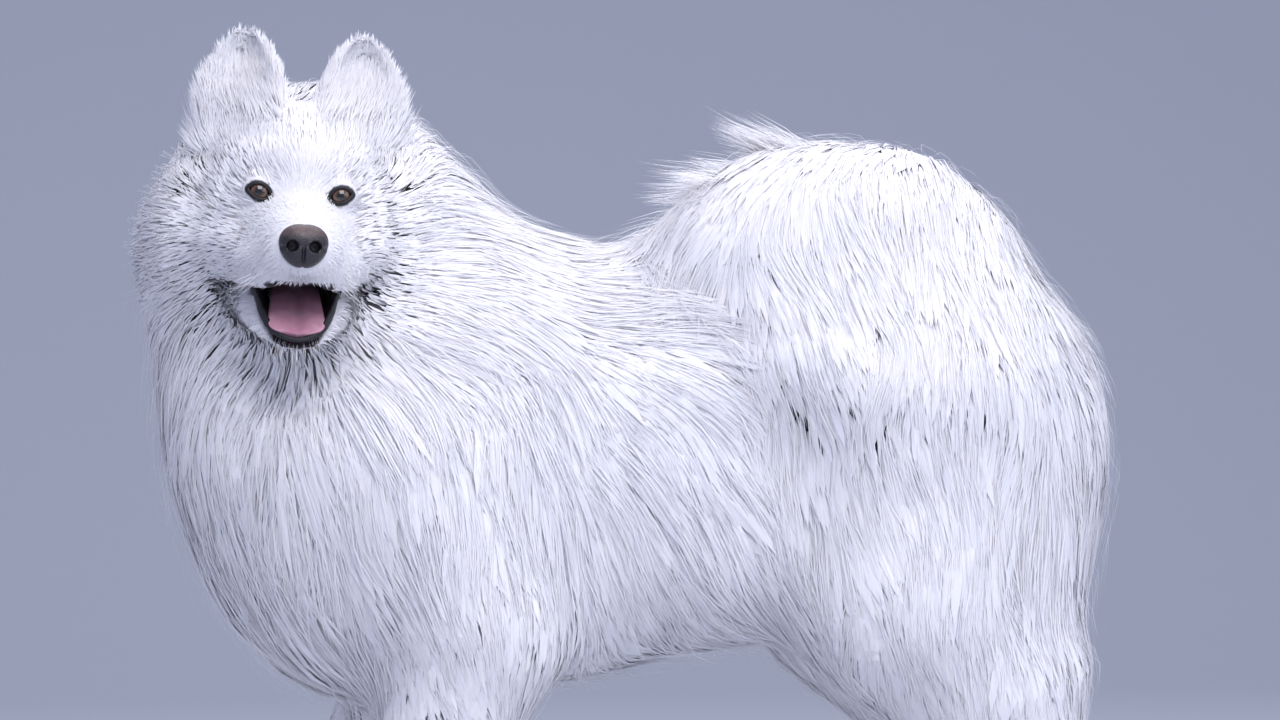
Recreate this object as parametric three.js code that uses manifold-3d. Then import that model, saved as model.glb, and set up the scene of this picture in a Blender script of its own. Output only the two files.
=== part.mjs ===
// A life-size standing samoyed dog with its head turned to the side, in millimetres, +Z up.
// The dog stands along X with its chest towards -X; its left side is towards -Y.
import * as THREE from 'three';
import { mergeVertices } from 'three/addons/utils/BufferGeometryUtils.js';
import Module from 'manifold-3d';

const wasm = await Module();
wasm.setup();

// Driving dimensions
const WITHERS = 560; // height of the withers under the coat
const STANCE = 72; // each foot from the middle plane
const FORE_LEAD = -54; // the right feet stand this far from the left ones
const HIND_LEAD = -10;
const GAP = 0.35; // room between two parts that touch
const SHORT_COAT = 14; // a coat up to this deep is part of the solid
const CORE_SHARE = 0.45; // how far into a longer coat its dense core reaches
const CENTRE = [-10, -15]; // the middle of the whole dog, which becomes the origin in X and Y

// Heights and places along the body, from the height at the withers
const FORE_X = -0.33 * WITHERS;
const HIND_X = 0.45 * WITHERS;
const ELBOW_Z = 0.54 * WITHERS;
const WRIST_Z = 0.235 * WITHERS;
const KNEE_Z = 0.55 * WITHERS;
const HOCK_Z = 0.27 * WITHERS;
const TRUNK_Z = 0.775 * WITHERS;

// Where the head is: the point between the eyes, and how the head is turned
const EYES = [-278.5, -100, 632];
const HEAD_YAW = 0.3;
const HEAD_ROLL = 2.9;
const EYE_SPREAD = 31.5;
const EYE_RADIUS = 11;

// How far out the solids go under their locks: 0 the coat's dense core, 1 the tips
const COAT = 0;

const vec = (x, y, z) => new THREE.Vector3(x, y, z);
const mix = THREE.MathUtils.lerp;
const radians = THREE.MathUtils.degToRad;

const headFrame = new THREE.Matrix4()
  .makeTranslation(...EYES)
  .multiply(new THREE.Matrix4().makeRotationZ(radians(HEAD_YAW)))
  .multiply(new THREE.Matrix4().makeRotationY(radians(HEAD_ROLL)));
const bodyFrame = new THREE.Matrix4();

// A bone is a tapered rod of flesh with a coat over it: its two ends, the flesh radius, the coat's depth and
// the width across the body as a share of the radius, each at both ends.
function bone(from, to, flesh, coat, width = [1, 1], frame = bodyFrame) {
  return { from, to, flesh, coat, width, inverse: frame.clone().invert(), across: frame === headFrame ? 0 : 1 };
}

// The coat's depth at a level: -1 is the skin, 0 the core that a solid holds, 1 the tips.
function coatAt(coat, level) {
  const core = Math.min(coat, Math.max(SHORT_COAT, CORE_SHARE * coat));
  return level < 0 ? core * (1 + level) : mix(core, coat, level);
}

const local = vec(0, 0, 0);
function boneDistance(b, point, level) {
  local.copy(point).applyMatrix4(b.inverse);
  const p = [local.x, local.y, local.z];
  const axis = [0, 1, 2].map((i) => b.to[i] - b.from[i]);
  const length2 = axis[0] ** 2 + axis[1] ** 2 + axis[2] ** 2;
  const along = [0, 1, 2].reduce((sum, i) => sum + (p[i] - b.from[i]) * axis[i], 0);
  const t = length2 > 0 ? THREE.MathUtils.clamp(along / length2, 0, 1) : 0;
  const flesh = mix(b.flesh[0], b.flesh[1], t);
  const depth = coatAt(mix(b.coat[0], b.coat[1], t), level);
  const radius = flesh + depth;
  const stretch = (mix(b.width[0], b.width[1], t) * flesh + depth) / radius;
  const off = [0, 1, 2].map((i) => (p[i] - b.from[i] - t * axis[i]) / (i === b.across ? stretch : 1));
  return Math.hypot(...off) - radius;
}

// A smooth union of bones: below 0 inside.
function fieldAt(point, bones, level, blend) {
  let sum = 0;
  for (const b of bones) sum += Math.exp(-boneDistance(b, point, level) / blend);
  return -blend * Math.log(sum + 1e-300);
}

// The trunk, from the chest to the rump, with the mane's bib and the belly's fringe as deep coat on short bones.
const chestX = FORE_X + 35;
const rumpX = HIND_X - 8;
const trunkBones = [
  bone([chestX, 0, TRUNK_Z], [20, 0, TRUNK_Z + 2], [121, 119], [42, 42], [0.66, 0.68]),
  bone([20, 0, TRUNK_Z + 5], [170, 0, TRUNK_Z + 26], [112, 92], [44, 48], [0.7, 0.78]),
  bone([170, 0, TRUNK_Z + 26], [rumpX - 8, 0, TRUNK_Z + 12], [92, 82], [50, 52], [0.84, 0.9]),
  bone([chestX, 0, TRUNK_Z - 8], [chestX - 45, 0, TRUNK_Z - 40], [106, 72], [52, 92], [0.68, 0.74]),
  bone([chestX, 0, WITHERS - 44], [-80, 0, WITHERS - 44], [42, 42], [46, 42], [0.8, 0.8]),
  bone([-205, 0, 372], [-80, 0, 350], [48, 48], [78, 60], [0.9, 0.9]),
  bone([-50, 0, 358], [140, 0, 388], [30, 34], [70, 76], [1.2, 1.2]),
];
// The neck, and the ruff that stands round it from the cheeks to the chest.
const neckBones = [
  bone([-150, 0, 474], [-258, 20, 594], [84, 74], [46, 56], [0.8, 0.42]),
  bone([-264, 14, 566], [-240, -4, 450], [78, 72], [60, 70], [0.42, 0.6]),
  bone([-240, -4, 444], [-214, 0, 370], [72, 60], [70, 62], [0.62, 0.85]),
];
// The head, about the point between the eyes: X to its left side as seen from the front, Y back, Z up.
const inHead = (from, to, flesh, coat, width) => bone(from, to, flesh, coat, width, headFrame);
const headBones = [
  inHead([0, 96, 8], [0, 62, 14], [43, 45], [32, 21], [1.15, 1.2]),
  inHead([0, 44, 16], [0, 32, 12], [34, 30], [14, 6], [1.2, 1.2]),
  inHead([-33, 34, -12], [-46, 64, -14], [22, 24], [7, 40]),
  inHead([33, 34, -12], [46, 64, -14], [22, 24], [7, 40]),
  inHead([0, 8, -33], [0, -66, -46], [30, 21], [7, 5], [1.22, 1.26]),
  inHead([-21, -54, -61], [-33, -8, -50], [11, 13], [4, 8]),
  inHead([21, -54, -61], [33, -8, -50], [11, 13], [4, 8]),
  inHead([-46, 26, -42], [-58, 58, -40], [13, 18], [22, 44]),
  inHead([46, 26, -42], [58, 58, -40], [13, 18], [22, 44]),
];
const jawBones = [inHead([0, 26, -84], [0, -46, -107], [25, 9.5], [7, 5], [1.5, 1.9])];

function forelegBones(side) {
  const lead = side > 0 ? FORE_LEAD : 0;
  const x = FORE_X + lead;
  const y = side * STANCE;
  return [
    bone([FORE_X + 6, side * 70, 410], [FORE_X + 38, side * 76, ELBOW_Z], [50, 38], [40, 34], [0.8, 0.9]),
    bone([FORE_X + 36, side * 76, ELBOW_Z], [x, y, WRIST_Z], [34, 20], [28, 12]),
    bone([FORE_X + 52, side * 76, ELBOW_Z - 24], [x + 16, y, WRIST_Z + 30], [20, 12], [42, 16]),
    bone([x, y, WRIST_Z], [x - 12, y, 42], [20, 20], [10, 9]),
    bone([x - 8, y, 26], [x - 40, y - side * 2, 21], [25, 22], [7, 6], [1.12, 1.15]),
  ];
}
function hindlegBones(side) {
  const lead = side > 0 ? HIND_LEAD : 0;
  const x = HIND_X + lead;
  const y = side * STANCE;
  return [
    bone([rumpX - 6, side * 52, 452], [x - 48, side * 76, KNEE_Z + 14], [82, 54], [50, 44], [0.62, 0.75]),
    bone([rumpX + 16, side * 44, 400], [x + 16, side * 64, 280], [48, 30], [66, 50], [0.8, 0.8]),
    bone([x - 48, side * 76, KNEE_Z + 10], [x + 58, y, HOCK_Z], [45, 22], [40, 22], [0.8, 1]),
    bone([x + 34, side * 70, 236], [x + 56, y, HOCK_Z + 24], [20, 14], [52, 26]),
    bone([x + 58, y, HOCK_Z], [x + 42, y, 44], [20, 19], [14, 9]),
    bone([x + 40, y, 26], [x + 4, y - side * 2, 21], [25, 22], [7, 6], [1.1, 1.12]),
  ];
}

// The tail rises from the rump, curls forward over the back and lies to the left side.
const tailLine = [
  [rumpX - 8, 0, 506], [rumpX + 12, -3, 548], [rumpX + 2, -10, 588], [rumpX - 34, -22, 614],
  [rumpX - 88, -38, 624], [rumpX - 143, -52, 614], [rumpX - 188, -62, 590],
];
const tailCurve = new THREE.CatmullRomCurve3(tailLine.map((p) => vec(...p)));
const TAIL_BONES = 10;
const tailBones = Array.from({ length: TAIL_BONES }, (_, i) => {
  const t = i / TAIL_BONES;
  const next = (i + 1) / TAIL_BONES;
  return bone(tailCurve.getPoint(t).toArray(), tailCurve.getPoint(next).toArray(),
    [mix(20, 8, t), mix(20, 8, next)], [mix(34, 44, t), mix(34, 44, next)]);
});

// A closed mesh from rings of points; a ring of one point closes an end.
function ringMesh(rings) {
  const points = [];
  const faces = [];
  const index = rings.map((ring) => ring.map((p) => points.push(p.x, p.y, p.z) / 3 - 1));
  for (let i = 0; i + 1 < rings.length; i++) {
    const [a, b] = [index[i], index[i + 1]];
    const count = Math.max(a.length, b.length);
    for (let j = 0; j < count; j++) {
      const k = (j + 1) % count;
      if (a.length > 1) faces.push(a[j], a[k], b[b.length > 1 ? k : 0]);
      if (b.length > 1) faces.push(a[a.length > 1 ? j : 0], b[k], b[j]);
    }
  }
  return new THREE.BufferGeometry()
    .setAttribute('position', new THREE.Float32BufferAttribute(points, 3))
    .setIndex(faces);
}

// How far the surface is from a point inside it, along a direction.
function reach(origin, direction, bones, level, blend, farthest = 420) {
  const inside = (d) => fieldAt(origin.clone().addScaledVector(direction, d), bones, level, blend) < 0;
  const step = 4;
  let d = 0;
  while (d < farthest && inside(d + step)) d += step;
  let [low, high] = [d, d + step];
  for (let i = 0; i < 10; i++) {
    const middle = (low + high) / 2;
    if (inside(middle)) low = middle;
    else high = middle;
  }
  return low;
}

// A skin round a line of middle points, out to the surface of the bones, with a dome at each end.
function skinRound(line, bones, { stations, sides, domes = 3, level = COAT, blend = 12, frame = bodyFrame }) {
  const curve = new THREE.CatmullRomCurve3(line.map((p) => vec(...p).applyMatrix4(frame)));
  const reference = frame === headFrame ? vec(1, 0, 0) : vec(0, 1, 0);
  const at = (t, tilt, turn, grow = 0) => {
    const origin = curve.getPoint(t);
    const tangent = curve.getTangent(t);
    const up = tangent.clone().cross(reference).normalize();
    const over = up.clone().cross(tangent).normalize();
    const outward = up.multiplyScalar(Math.cos(turn)).addScaledVector(over, Math.sin(turn));
    const direction = outward.multiplyScalar(Math.cos(tilt)).addScaledVector(tangent, Math.sin(tilt));
    return origin.addScaledVector(direction, reach(origin, direction, bones, level, blend) + grow);
  };
  const grown = (grow) => {
    const ring = (t, tilt) => {
      const spokes = Math.abs(tilt) > Math.PI / 2 - 1e-6 ? 1 : sides;
      return Array.from({ length: spokes }, (_, j) => at(t, tilt, (2 * Math.PI * j) / sides, grow));
    };
    const rings = [];
    for (let i = 0; i < domes; i++) rings.push(ring(0, (-Math.PI / 2) * (1 - i / domes)));
    for (let i = 0; i < stations; i++) rings.push(ring(i / (stations - 1), 0));
    for (let i = 1; i <= domes; i++) rings.push(ring(1, (Math.PI / 2) * (i / domes)));
    return solid(ringMesh(rings));
  };
  return Object.assign(grown, { at });
}

// A mesh as a solid for cutting and joining, with its faces turned outward.
function solid(geometry) {
  const bare = geometry.clone();
  bare.deleteAttribute('normal');
  bare.deleteAttribute('uv');
  const merged = mergeVertices(bare, 1e-3);
  const build = (triVerts) => new wasm.Manifold(
    new wasm.Mesh({ numProp: 3, vertProperties: merged.attributes.position.array, triVerts }));
  const triangles = new Uint32Array(merged.index.array);
  const made = build(triangles);
  if (made.volume() > 0) return made;
  for (let i = 0; i < triangles.length; i += 3) {
    [triangles[i + 1], triangles[i + 2]] = [triangles[i + 2], triangles[i + 1]];
  }
  return build(triangles);
}

// What is left of a solid after cutting and joining: its largest closed surface.
function largest(shape) {
  const pieces = shape.decompose();
  return pieces.reduce((best, piece) => (piece.volume() > best.volume() ? piece : best));
}

function without(shape, ...cutters) {
  return largest(cutters.reduce((left, cutter) => left.subtract(cutter), shape));
}

// A plain three.js geometry placed in a frame, as a solid.
function placed(geometry, position, { frame = bodyFrame, turn = [0, 0, 0], scale = [1, 1, 1] } = {}) {
  const own = new THREE.Matrix4().compose(
    vec(...position), new THREE.Quaternion().setFromEuler(new THREE.Euler(...turn)), vec(...scale));
  return solid(geometry.clone().applyMatrix4(new THREE.Matrix4().multiplyMatrices(frame, own)));
}
const ball = (radius, sides = 12, rings = 7) => new THREE.SphereGeometry(radius, sides, rings);
const block = (x, y, z) => new THREE.BoxGeometry(x, y, z);

// The head's pieces

function eye(side, grow) {
  return placed(ball(EYE_RADIUS + grow), [side * EYE_SPREAD, 9, 0], { frame: headFrame });
}

// A lid: a thicker ball round the eye, open in front in the shape of an almond.
function lids(side) {
  return placed(ball(EYE_RADIUS + 3.2, 12, 7), [side * EYE_SPREAD, 9.5, 0], { frame: headFrame });
}
function lidOpening(side) {
  return placed(ball(1, 12, 6), [side * EYE_SPREAD, -6, -0.5],
    { frame: headFrame, turn: [0, side * 0.16, 0], scale: [10.2, 12, 6.8] });
}

// The nose: a rounded pad with a flat front, two comma-shaped nostrils and a groove between them.
const NOSE = [0, -82, -43];
function nose(grow) {
  const pad = ball(1, 12, 8);
  const at = pad.attributes.position;
  for (let i = 0; i < at.count; i++) {
    const [x, y, z] = [at.getX(i), at.getY(i), at.getZ(i)];
    const fuller = 1 + 0.16 * (Math.abs(x * z) + Math.abs(x * y) + Math.abs(y * z));
    const narrower = z < 0 ? 1 + 0.26 * z : 1;
    at.setXYZ(i, x * fuller * narrower * (18.2 + grow), y * fuller * (13.5 + grow), z * fuller * (16 + grow));
  }
  return placed(pad, NOSE, { frame: headFrame });
}
function nostrils() {
  return [-1, 1].flatMap((side) => [
    placed(ball(1, 7, 5), [side * 8.6, -96, -43], { frame: headFrame, scale: [4.3, 8, 4.4] }),
    placed(ball(1, 6, 4), [side * 14, -92, -46], { frame: headFrame, turn: [0, side * 0.5, 0], scale: [5.5, 8, 1.6] }),
  ]);
}
const noseGroove = () => placed(block(1.6, 5, 22), [0, -97, -54], { frame: headFrame });

// The tongue lies along the lower jaw, broad at the tip, with a groove down its middle.
const TONGUE = [[0, 22, -72], [0, -2, -81], [0, -24, -92], [0, -44, -102], [0, -58, -110]];
function tongue(grow) {
  const curve = new THREE.CatmullRomCurve3(TONGUE.map((p) => vec(...p)));
  const rings = [];
  const STATIONS = 9;
  for (let i = 0; i <= STATIONS; i++) {
    const t = i / STATIONS;
    const middle = curve.getPoint(t);
    const tangent = curve.getTangent(t);
    const up = vec(1, 0, 0).cross(tangent).normalize();
    if (up.z < 0) up.negate();
    const round = Math.sqrt(Math.max(0, 1 - Math.max(0, (t - 0.72) / 0.28) ** 2.4));
    const half = Math.max(0, mix(17, 21.5, Math.min(1, t * 1.6)) * round) + grow;
    const thick = mix(5, 3.6, t) * Math.max(round, 0.25) + grow;
    const sides = i === STATIONS ? 1 : 12;
    rings.push(Array.from({ length: sides }, (_, j) => {
      if (sides === 1) return middle.clone().addScaledVector(tangent, 1 + grow);
      const turn = (2 * Math.PI * j) / sides;
      const across = Math.sin(turn);
      const groove = Math.cos(turn) > 0.9 ? -2.2 : 0;
      return middle.clone()
        .addScaledVector(vec(1, 0, 0), half * across)
        .addScaledVector(up, thick * Math.cos(turn) + groove + 2.5 * across ** 2);
    }));
  }
  const root = curve.getPoint(0).addScaledVector(curve.getTangent(0), -2 - grow);
  rings.unshift([root]);
  return solid(ringMesh(rings).applyMatrix4(headFrame));
}

// An ear: a rounded triangular blade, hollowed in front, growing from the side of the crown.
const EAR_HEIGHTS = [40, 60, 79, 97, 111, 122, 129, 133];
const EAR_HALF_WIDTHS = [42, 44, 41, 34, 26.5, 18, 10, 0];
const EAR_CUPS = [14, 18, 17, 14, 10, 6, 2.5, 0];
function ear(side, grow) {
  const rings = EAR_HEIGHTS.map((height, level) => {
    const half = EAR_HALF_WIDTHS[level];
    const middle = vec(side * mix(45, 47, level / 7), mix(58, 44, level / 7), height);
    if (half === 0) return [middle.add(vec(0, 0, grow))];
    const outward = vec(side * 0.28, -1, 0).normalize();
    const across = vec(1, side * 0.28, 0).normalize();
    const back = 0.42 * half + 6;
    const front = 0.3 * half + 3;
    const SIDES = 14;
    return Array.from({ length: SIDES }, (_, j) => {
      const turn = (2 * Math.PI * j) / SIDES;
      const u = Math.cos(turn);
      const v = Math.sin(turn);
      const hollow = v > 0 ? EAR_CUPS[level] * Math.max(0, 1 - (u / 0.72) ** 2) * v : 0;
      const depth = v > 0 ? front * v - hollow - grow * (hollow > 0 ? -1 : 0) : back * v;
      return middle.clone()
        .addScaledVector(across, u * (half + grow))
        .addScaledVector(outward, depth + Math.sign(v) * grow);
    });
  });
  const foot = vec(side * 40, 58, EAR_HEIGHTS[0] - 8);
  return solid(ringMesh([[foot], ...rings]).applyMatrix4(headFrame));
}

// The head: skull and upper jaw, with the mouth's roof hollowed out from below.
const headSkin = skinRound(
  [[0, 84, 4], [0, 50, 4], [0, 16, -10], [0, -16, -32], [0, -44, -42], [0, -64, -46]],
  headBones, { stations: 10, sides: 20, domes: 3, blend: 6, frame: headFrame });
const mouthRoof = () => placed(ball(1, 12, 7), [0, -26, -82], { frame: headFrame, scale: [27, 47, 23] });

// The open mouth seen from the side, as Y and Z in the head: the corner, the edge of the upper lip, then below.
const MOUTH_SIDE = [[7, -54], [-4, -60], [-24, -72], [-50, -77], [-66, -71], [-110, -70], [-110, -160], [7, -160]];
function mouthGap(shrink) {
  const outline = new THREE.Shape(MOUTH_SIDE.map(([y, z]) => new THREE.Vector2(y - shrink, z - shrink)));
  const prism = new THREE.ExtrudeGeometry(outline, { depth: 180, bevelEnabled: false });
  prism.translate(0, 0, -90).rotateX(Math.PI / 2).rotateZ(Math.PI / 2);
  return placed(prism, [0, 0, 0], { frame: headFrame });
}

// The lower jaw hangs open; its top is cut along the plane of the mouth.
const MOUTH_CORNER = [0, 0, -60];
const MOUTH_SLOPE = 0.72;
const jawSkin = skinRound(
  [[0, 26, -84], [0, 0, -92], [0, -24, -100], [0, -46, -107]],
  jawBones, { stations: 5, sides: 14, domes: 2, blend: 6, frame: headFrame });
const aboveMouth = () => placed(block(160, 160, 80), [0, MOUTH_CORNER[1] - 22, MOUTH_CORNER[2] + 21],
  { frame: headFrame, turn: [MOUTH_SLOPE, 0, 0] });

// The black lower lip: a band round the rim of the jaw that widens to the corners of the mouth.
function lips(grow) {
  const path = [[-50, 5, -57], [-41, -16, -71], [-35, -34, -87], [-24, -52, -102], [0, -61, -110],
    [24, -52, -102], [35, -34, -87], [41, -16, -71], [50, 5, -57]];
  const curve = new THREE.CatmullRomCurve3(path.map((p) => vec(...p)));
  const STATIONS = 14;
  const rings = [];
  for (let i = 0; i <= STATIONS; i++) {
    const t = i / STATIONS;
    const middle = curve.getPoint(t);
    const tangent = curve.getTangent(t);
    const toCorner = Math.abs(2 * t - 1);
    const scallop = 1 + 0.12 * Math.cos(t * 60);
    const width = mix(3, 9, toCorner ** 1.5) * scallop;
    const inward = vec(-middle.x, -(middle.y + 20), 0).normalize();
    const up = tangent.clone().cross(inward).normalize();
    if (up.z < 0) up.negate();
    const end = i === 0 || i === STATIONS;
    rings.push(Array.from({ length: end ? 1 : 6 }, (_, j) => {
      if (end) return middle.clone();
      const turn = (2 * Math.PI * j) / 6;
      return middle.clone().addScaledVector(inward, (3.4 + grow) * Math.cos(turn))
        .addScaledVector(up, (width + grow) * Math.sin(turn));
    }));
  }
  return solid(ringMesh(rings).applyMatrix4(headFrame));
}

// The neck and the trunk
const neckSkin = skinRound(
  [[-205, 0, 380], [-212, 0, 440], [-226, 8, 510], [-246, 16, 580]],
  neckBones, { stations: 5, sides: 16, domes: 3 });
const trunkSkin = skinRound(
  [[-165, 0, 432], [-90, 0, 434], [0, 0, 438], [90, 0, 450], [170, 0, 458], [236, 0, 454]],
  trunkBones, { stations: 8, sides: 16, domes: 2 });

// Each leg down to its wrist or hock; the feet below are pieces of their own.
const forelegSkin = (side) => {
  const x = FORE_X + (side > 0 ? FORE_LEAD : 0);
  return skinRound([[FORE_X + 8, side * 70, 400], [FORE_X + 34, side * 76, 305],
    [FORE_X + 24 + (x - FORE_X) * 0.5, side * 75, 220], [x + 2, side * STANCE, WRIST_Z]],
  forelegBones(side).slice(0, 3), { stations: 6, sides: 10, domes: 2, blend: 10 });
};
const hindlegSkin = (side) => {
  const x = HIND_X + (side > 0 ? HIND_LEAD : 0);
  return skinRound([[rumpX - 6, side * 60, 450], [rumpX - 14, side * 68, 390], [x - 20, side * 72, 310],
    [x + 30, side * 70, 225], [x + 56, side * STANCE, HOCK_Z]],
  hindlegBones(side).slice(0, 4), { stations: 6, sides: 12, domes: 2, blend: 12 });
};
// The slim part of a foot, from the wrist or hock down into the paw.
function pasternSkin(side, hind) {
  const bones = (hind ? hindlegBones(side) : forelegBones(side)).slice(hind ? 4 : 3, hind ? 5 : 4);
  const { from, to } = bones[0];
  const line = [from, [mix(from[0], to[0], 0.5), from[1], mix(from[2], to[2], 0.5)], to];
  return skinRound(line, bones, { stations: 3, sides: 9, domes: 1 });
}
function pawX(side, hind) {
  const lead = side > 0 ? (hind ? HIND_LEAD : FORE_LEAD) : 0;
  return (hind ? HIND_X + 2 : FORE_X - 42) + lead;
}

// A paw: a rounded sole, four toes side by side and a claw at the end of each, flat below.
const TOES = [-1.5, -0.5, 0.5, 1.5];
function paw(side, hind) {
  const x = pawX(side, hind);
  const y = side * (STANCE - 1);
  const wide = hind ? 0.92 : 1;
  let shape = placed(ball(1, 9, 5), [x + 24, y, 30], { scale: [36, 30 * wide, 34] });
  for (const toe of TOES) {
    const forward = 5 - 4.5 * (Math.abs(toe) - 0.5);
    shape = shape.add(placed(ball(1, 6, 4), [x - 2 - forward + 6, y + toe * 14 * wide, 17],
      { scale: [24, 9.4 * wide, 18], turn: [0, 0, -toe * 0.12] }));
  }
  return shape.add(pasternSkin(side, hind)(0));
}
function claws(side, hind) {
  const x = pawX(side, hind);
  const y = side * (STANCE - 1);
  const wide = hind ? 0.92 : 1;
  return TOES.map((toe) => {
    const forward = 5 - 4.5 * (Math.abs(toe) - 0.5);
    return placed(new THREE.ConeGeometry(3.2, 17, 3), [x - 23 - forward, y + toe * 14.6 * wide, 11],
      { turn: [0, 0, Math.PI / 2 + 0.42] });
  });
}

// The tail, with the plume's curtain of hair as coat on short bones.
const plumeBones = [
  [[246, -44, 586], [256, -112, 480]], [[196, -56, 598], [206, -116, 474]],
  [[146, -60, 602], [156, -112, 484]], [[98, -62, 600], [112, -104, 506]],
].map(([from, to]) => bone(from, to, [12, 8], [42, 38]));
const plumeSkin = skinRound(
  [[rumpX - 20, -36, 556], [rumpX - 90, -58, 574], [rumpX - 170, -62, 586]],
  [...tailBones, ...plumeBones], { stations: 7, sides: 14, domes: 3, blend: 12 });

// Everything below the floor is cut off.
const floor = () => placed(block(2000, 2000, 200), [0, 0, -100]);

// Cutting leaves slivers. The ends of an edge shorter than this become one point, and where two surfaces of a
// piece only touch, their corners are drawn apart by it.
const SLIVER = 0.04;
function neighboursOf(points, faces) {
  const around = points.map(() => new Set());
  for (const face of faces) {
    for (const corner of face) face.forEach((other) => other !== corner && around[corner].add(other));
  }
  return around;
}
function sliverIn(points, faces) {
  const around = neighboursOf(points, faces);
  for (const [i, j, k] of faces) {
    for (const [a, b] of [[i, j], [j, k], [k, i]]) {
      if (points[a].distanceTo(points[b]) >= SLIVER) continue;
      if ([...around[a]].filter((other) => around[b].has(other)).length === 2) return [a, b];
    }
  }
  return null;
}
function withoutSlivers(points, faces) {
  let left = faces;
  for (let edge = sliverIn(points, left); edge; edge = sliverIn(points, left)) {
    const [kept, dropped] = edge;
    left = left.map((face) => face.map((corner) => (corner === dropped ? kept : corner)))
      .filter(([i, j, k]) => i !== j && j !== k && k !== i);
  }
  return left;
}
function partTouching(points, faces) {
  const around = neighboursOf(points, faces);
  const used = points.map((_, i) => i).filter((i) => around[i].size > 0);
  const touching = used.filter((i) => used.some((j) => j !== i && !around[i].has(j)
    && points[i].distanceTo(points[j]) < SLIVER / 2));
  const moves = touching.map((i) => {
    const middle = vec(0, 0, 0);
    for (const other of around[i]) middle.addScaledVector(points[other], 1 / around[i].size);
    return middle.sub(points[i]).setLength(SLIVER);
  });
  touching.forEach((i, n) => points[i].add(moves[n]));
}

function toGeometry(shape) {
  const mesh = shape.getMesh();
  const stride = mesh.numProp;
  const corners = mesh.vertProperties;
  const points = Array.from({ length: corners.length / stride }, (_, i) => (
    vec(corners[stride * i], corners[stride * i + 1], corners[stride * i + 2])));
  const faces = Array.from({ length: mesh.triVerts.length / 3 }, (_, i) => [...mesh.triVerts.slice(3 * i, 3 * i + 3)]);
  const left = withoutSlivers(points, faces);
  partTouching(points, left);
  const used = [...new Set(left.flat())];
  const place = new Map(used.map((corner, i) => [corner, i]));
  return new THREE.BufferGeometry()
    .setAttribute('position', new THREE.Float32BufferAttribute(used.flatMap((i) => points[i].toArray()), 3))
    .setIndex(left.flat().map((corner) => place.get(corner)));
}

const clearances = []; // the pieces made so far, each larger by the gap

// Repeatable random numbers from 0 to 1.
let seed = 20;
function random() {
  seed = (seed + 0x6d2b79f5) | 0;
  let mixed = Math.imul(seed ^ (seed >>> 15), 1 | seed);
  mixed = (mixed + Math.imul(mixed ^ (mixed >>> 7), 61 | mixed)) ^ mixed;
  return ((mixed ^ (mixed >>> 14)) >>> 0) / 4294967296;
}
const spread = (low, high) => mix(low, high, random());

// The whole dog's bones, whose surface the locks lie on.
const allBones = [
  ...trunkBones, ...neckBones, ...headBones, ...jawBones, ...tailBones, ...plumeBones,
  ...[-1, 1].flatMap((side) => [...forelegBones(side), ...hindlegBones(side)]),
];
const SMOOTH = 8;

function outwardAt(point, level) {
  const d = 2;
  const slope = (x, y, z) => fieldAt(vec(point.x + x, point.y + y, point.z + z), allBones, level, SMOOTH)
    - fieldAt(vec(point.x - x, point.y - y, point.z - z), allBones, level, SMOOTH);
  return vec(slope(d, 0, 0), slope(0, d, 0), slope(0, 0, d)).normalize();
}

// Moves a point to the surface at a level of the coat.
function settle(point, level) {
  for (let i = 0; i < 3; i++) {
    point.addScaledVector(outwardAt(point, level), -fieldAt(point, allBones, level, SMOOTH));
  }
  return point;
}

// How long the coat's outer part is over a point of its core.
const coatOver = (point) => fieldAt(point, allBones, 0, SMOOTH) - fieldAt(point, allBones, 1, SMOOTH);

// The lie of the coat: away from the face on the ruff, back and down elsewhere.
const FACE = vec(EYES[0] + 2, EYES[1], EYES[2] - 40);
function lieAt(point, part) {
  if (part === 'neck') {
    const away = vec(point.x - FACE.x, 0, point.z - FACE.z);
    const strength = THREE.MathUtils.clamp(1.5 - away.length() / 260, 0, 1.2);
    const backward = point.z > 520 ? 0.9 : 0.1;
    return away.normalize().multiplyScalar(strength).add(vec(backward, 0, -1)).normalize();
  }
  if (part === 'tail') return vec(-0.15 - 0.5 * (point.z > 600), -0.75 * (point.z > 560), -1).normalize();
  if (part === 'torso') return vec(point.x < -190 ? -0.1 : 0.5, 0, -1).normalize();
  return vec(0.3, 0, -1).normalize();
}

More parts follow.
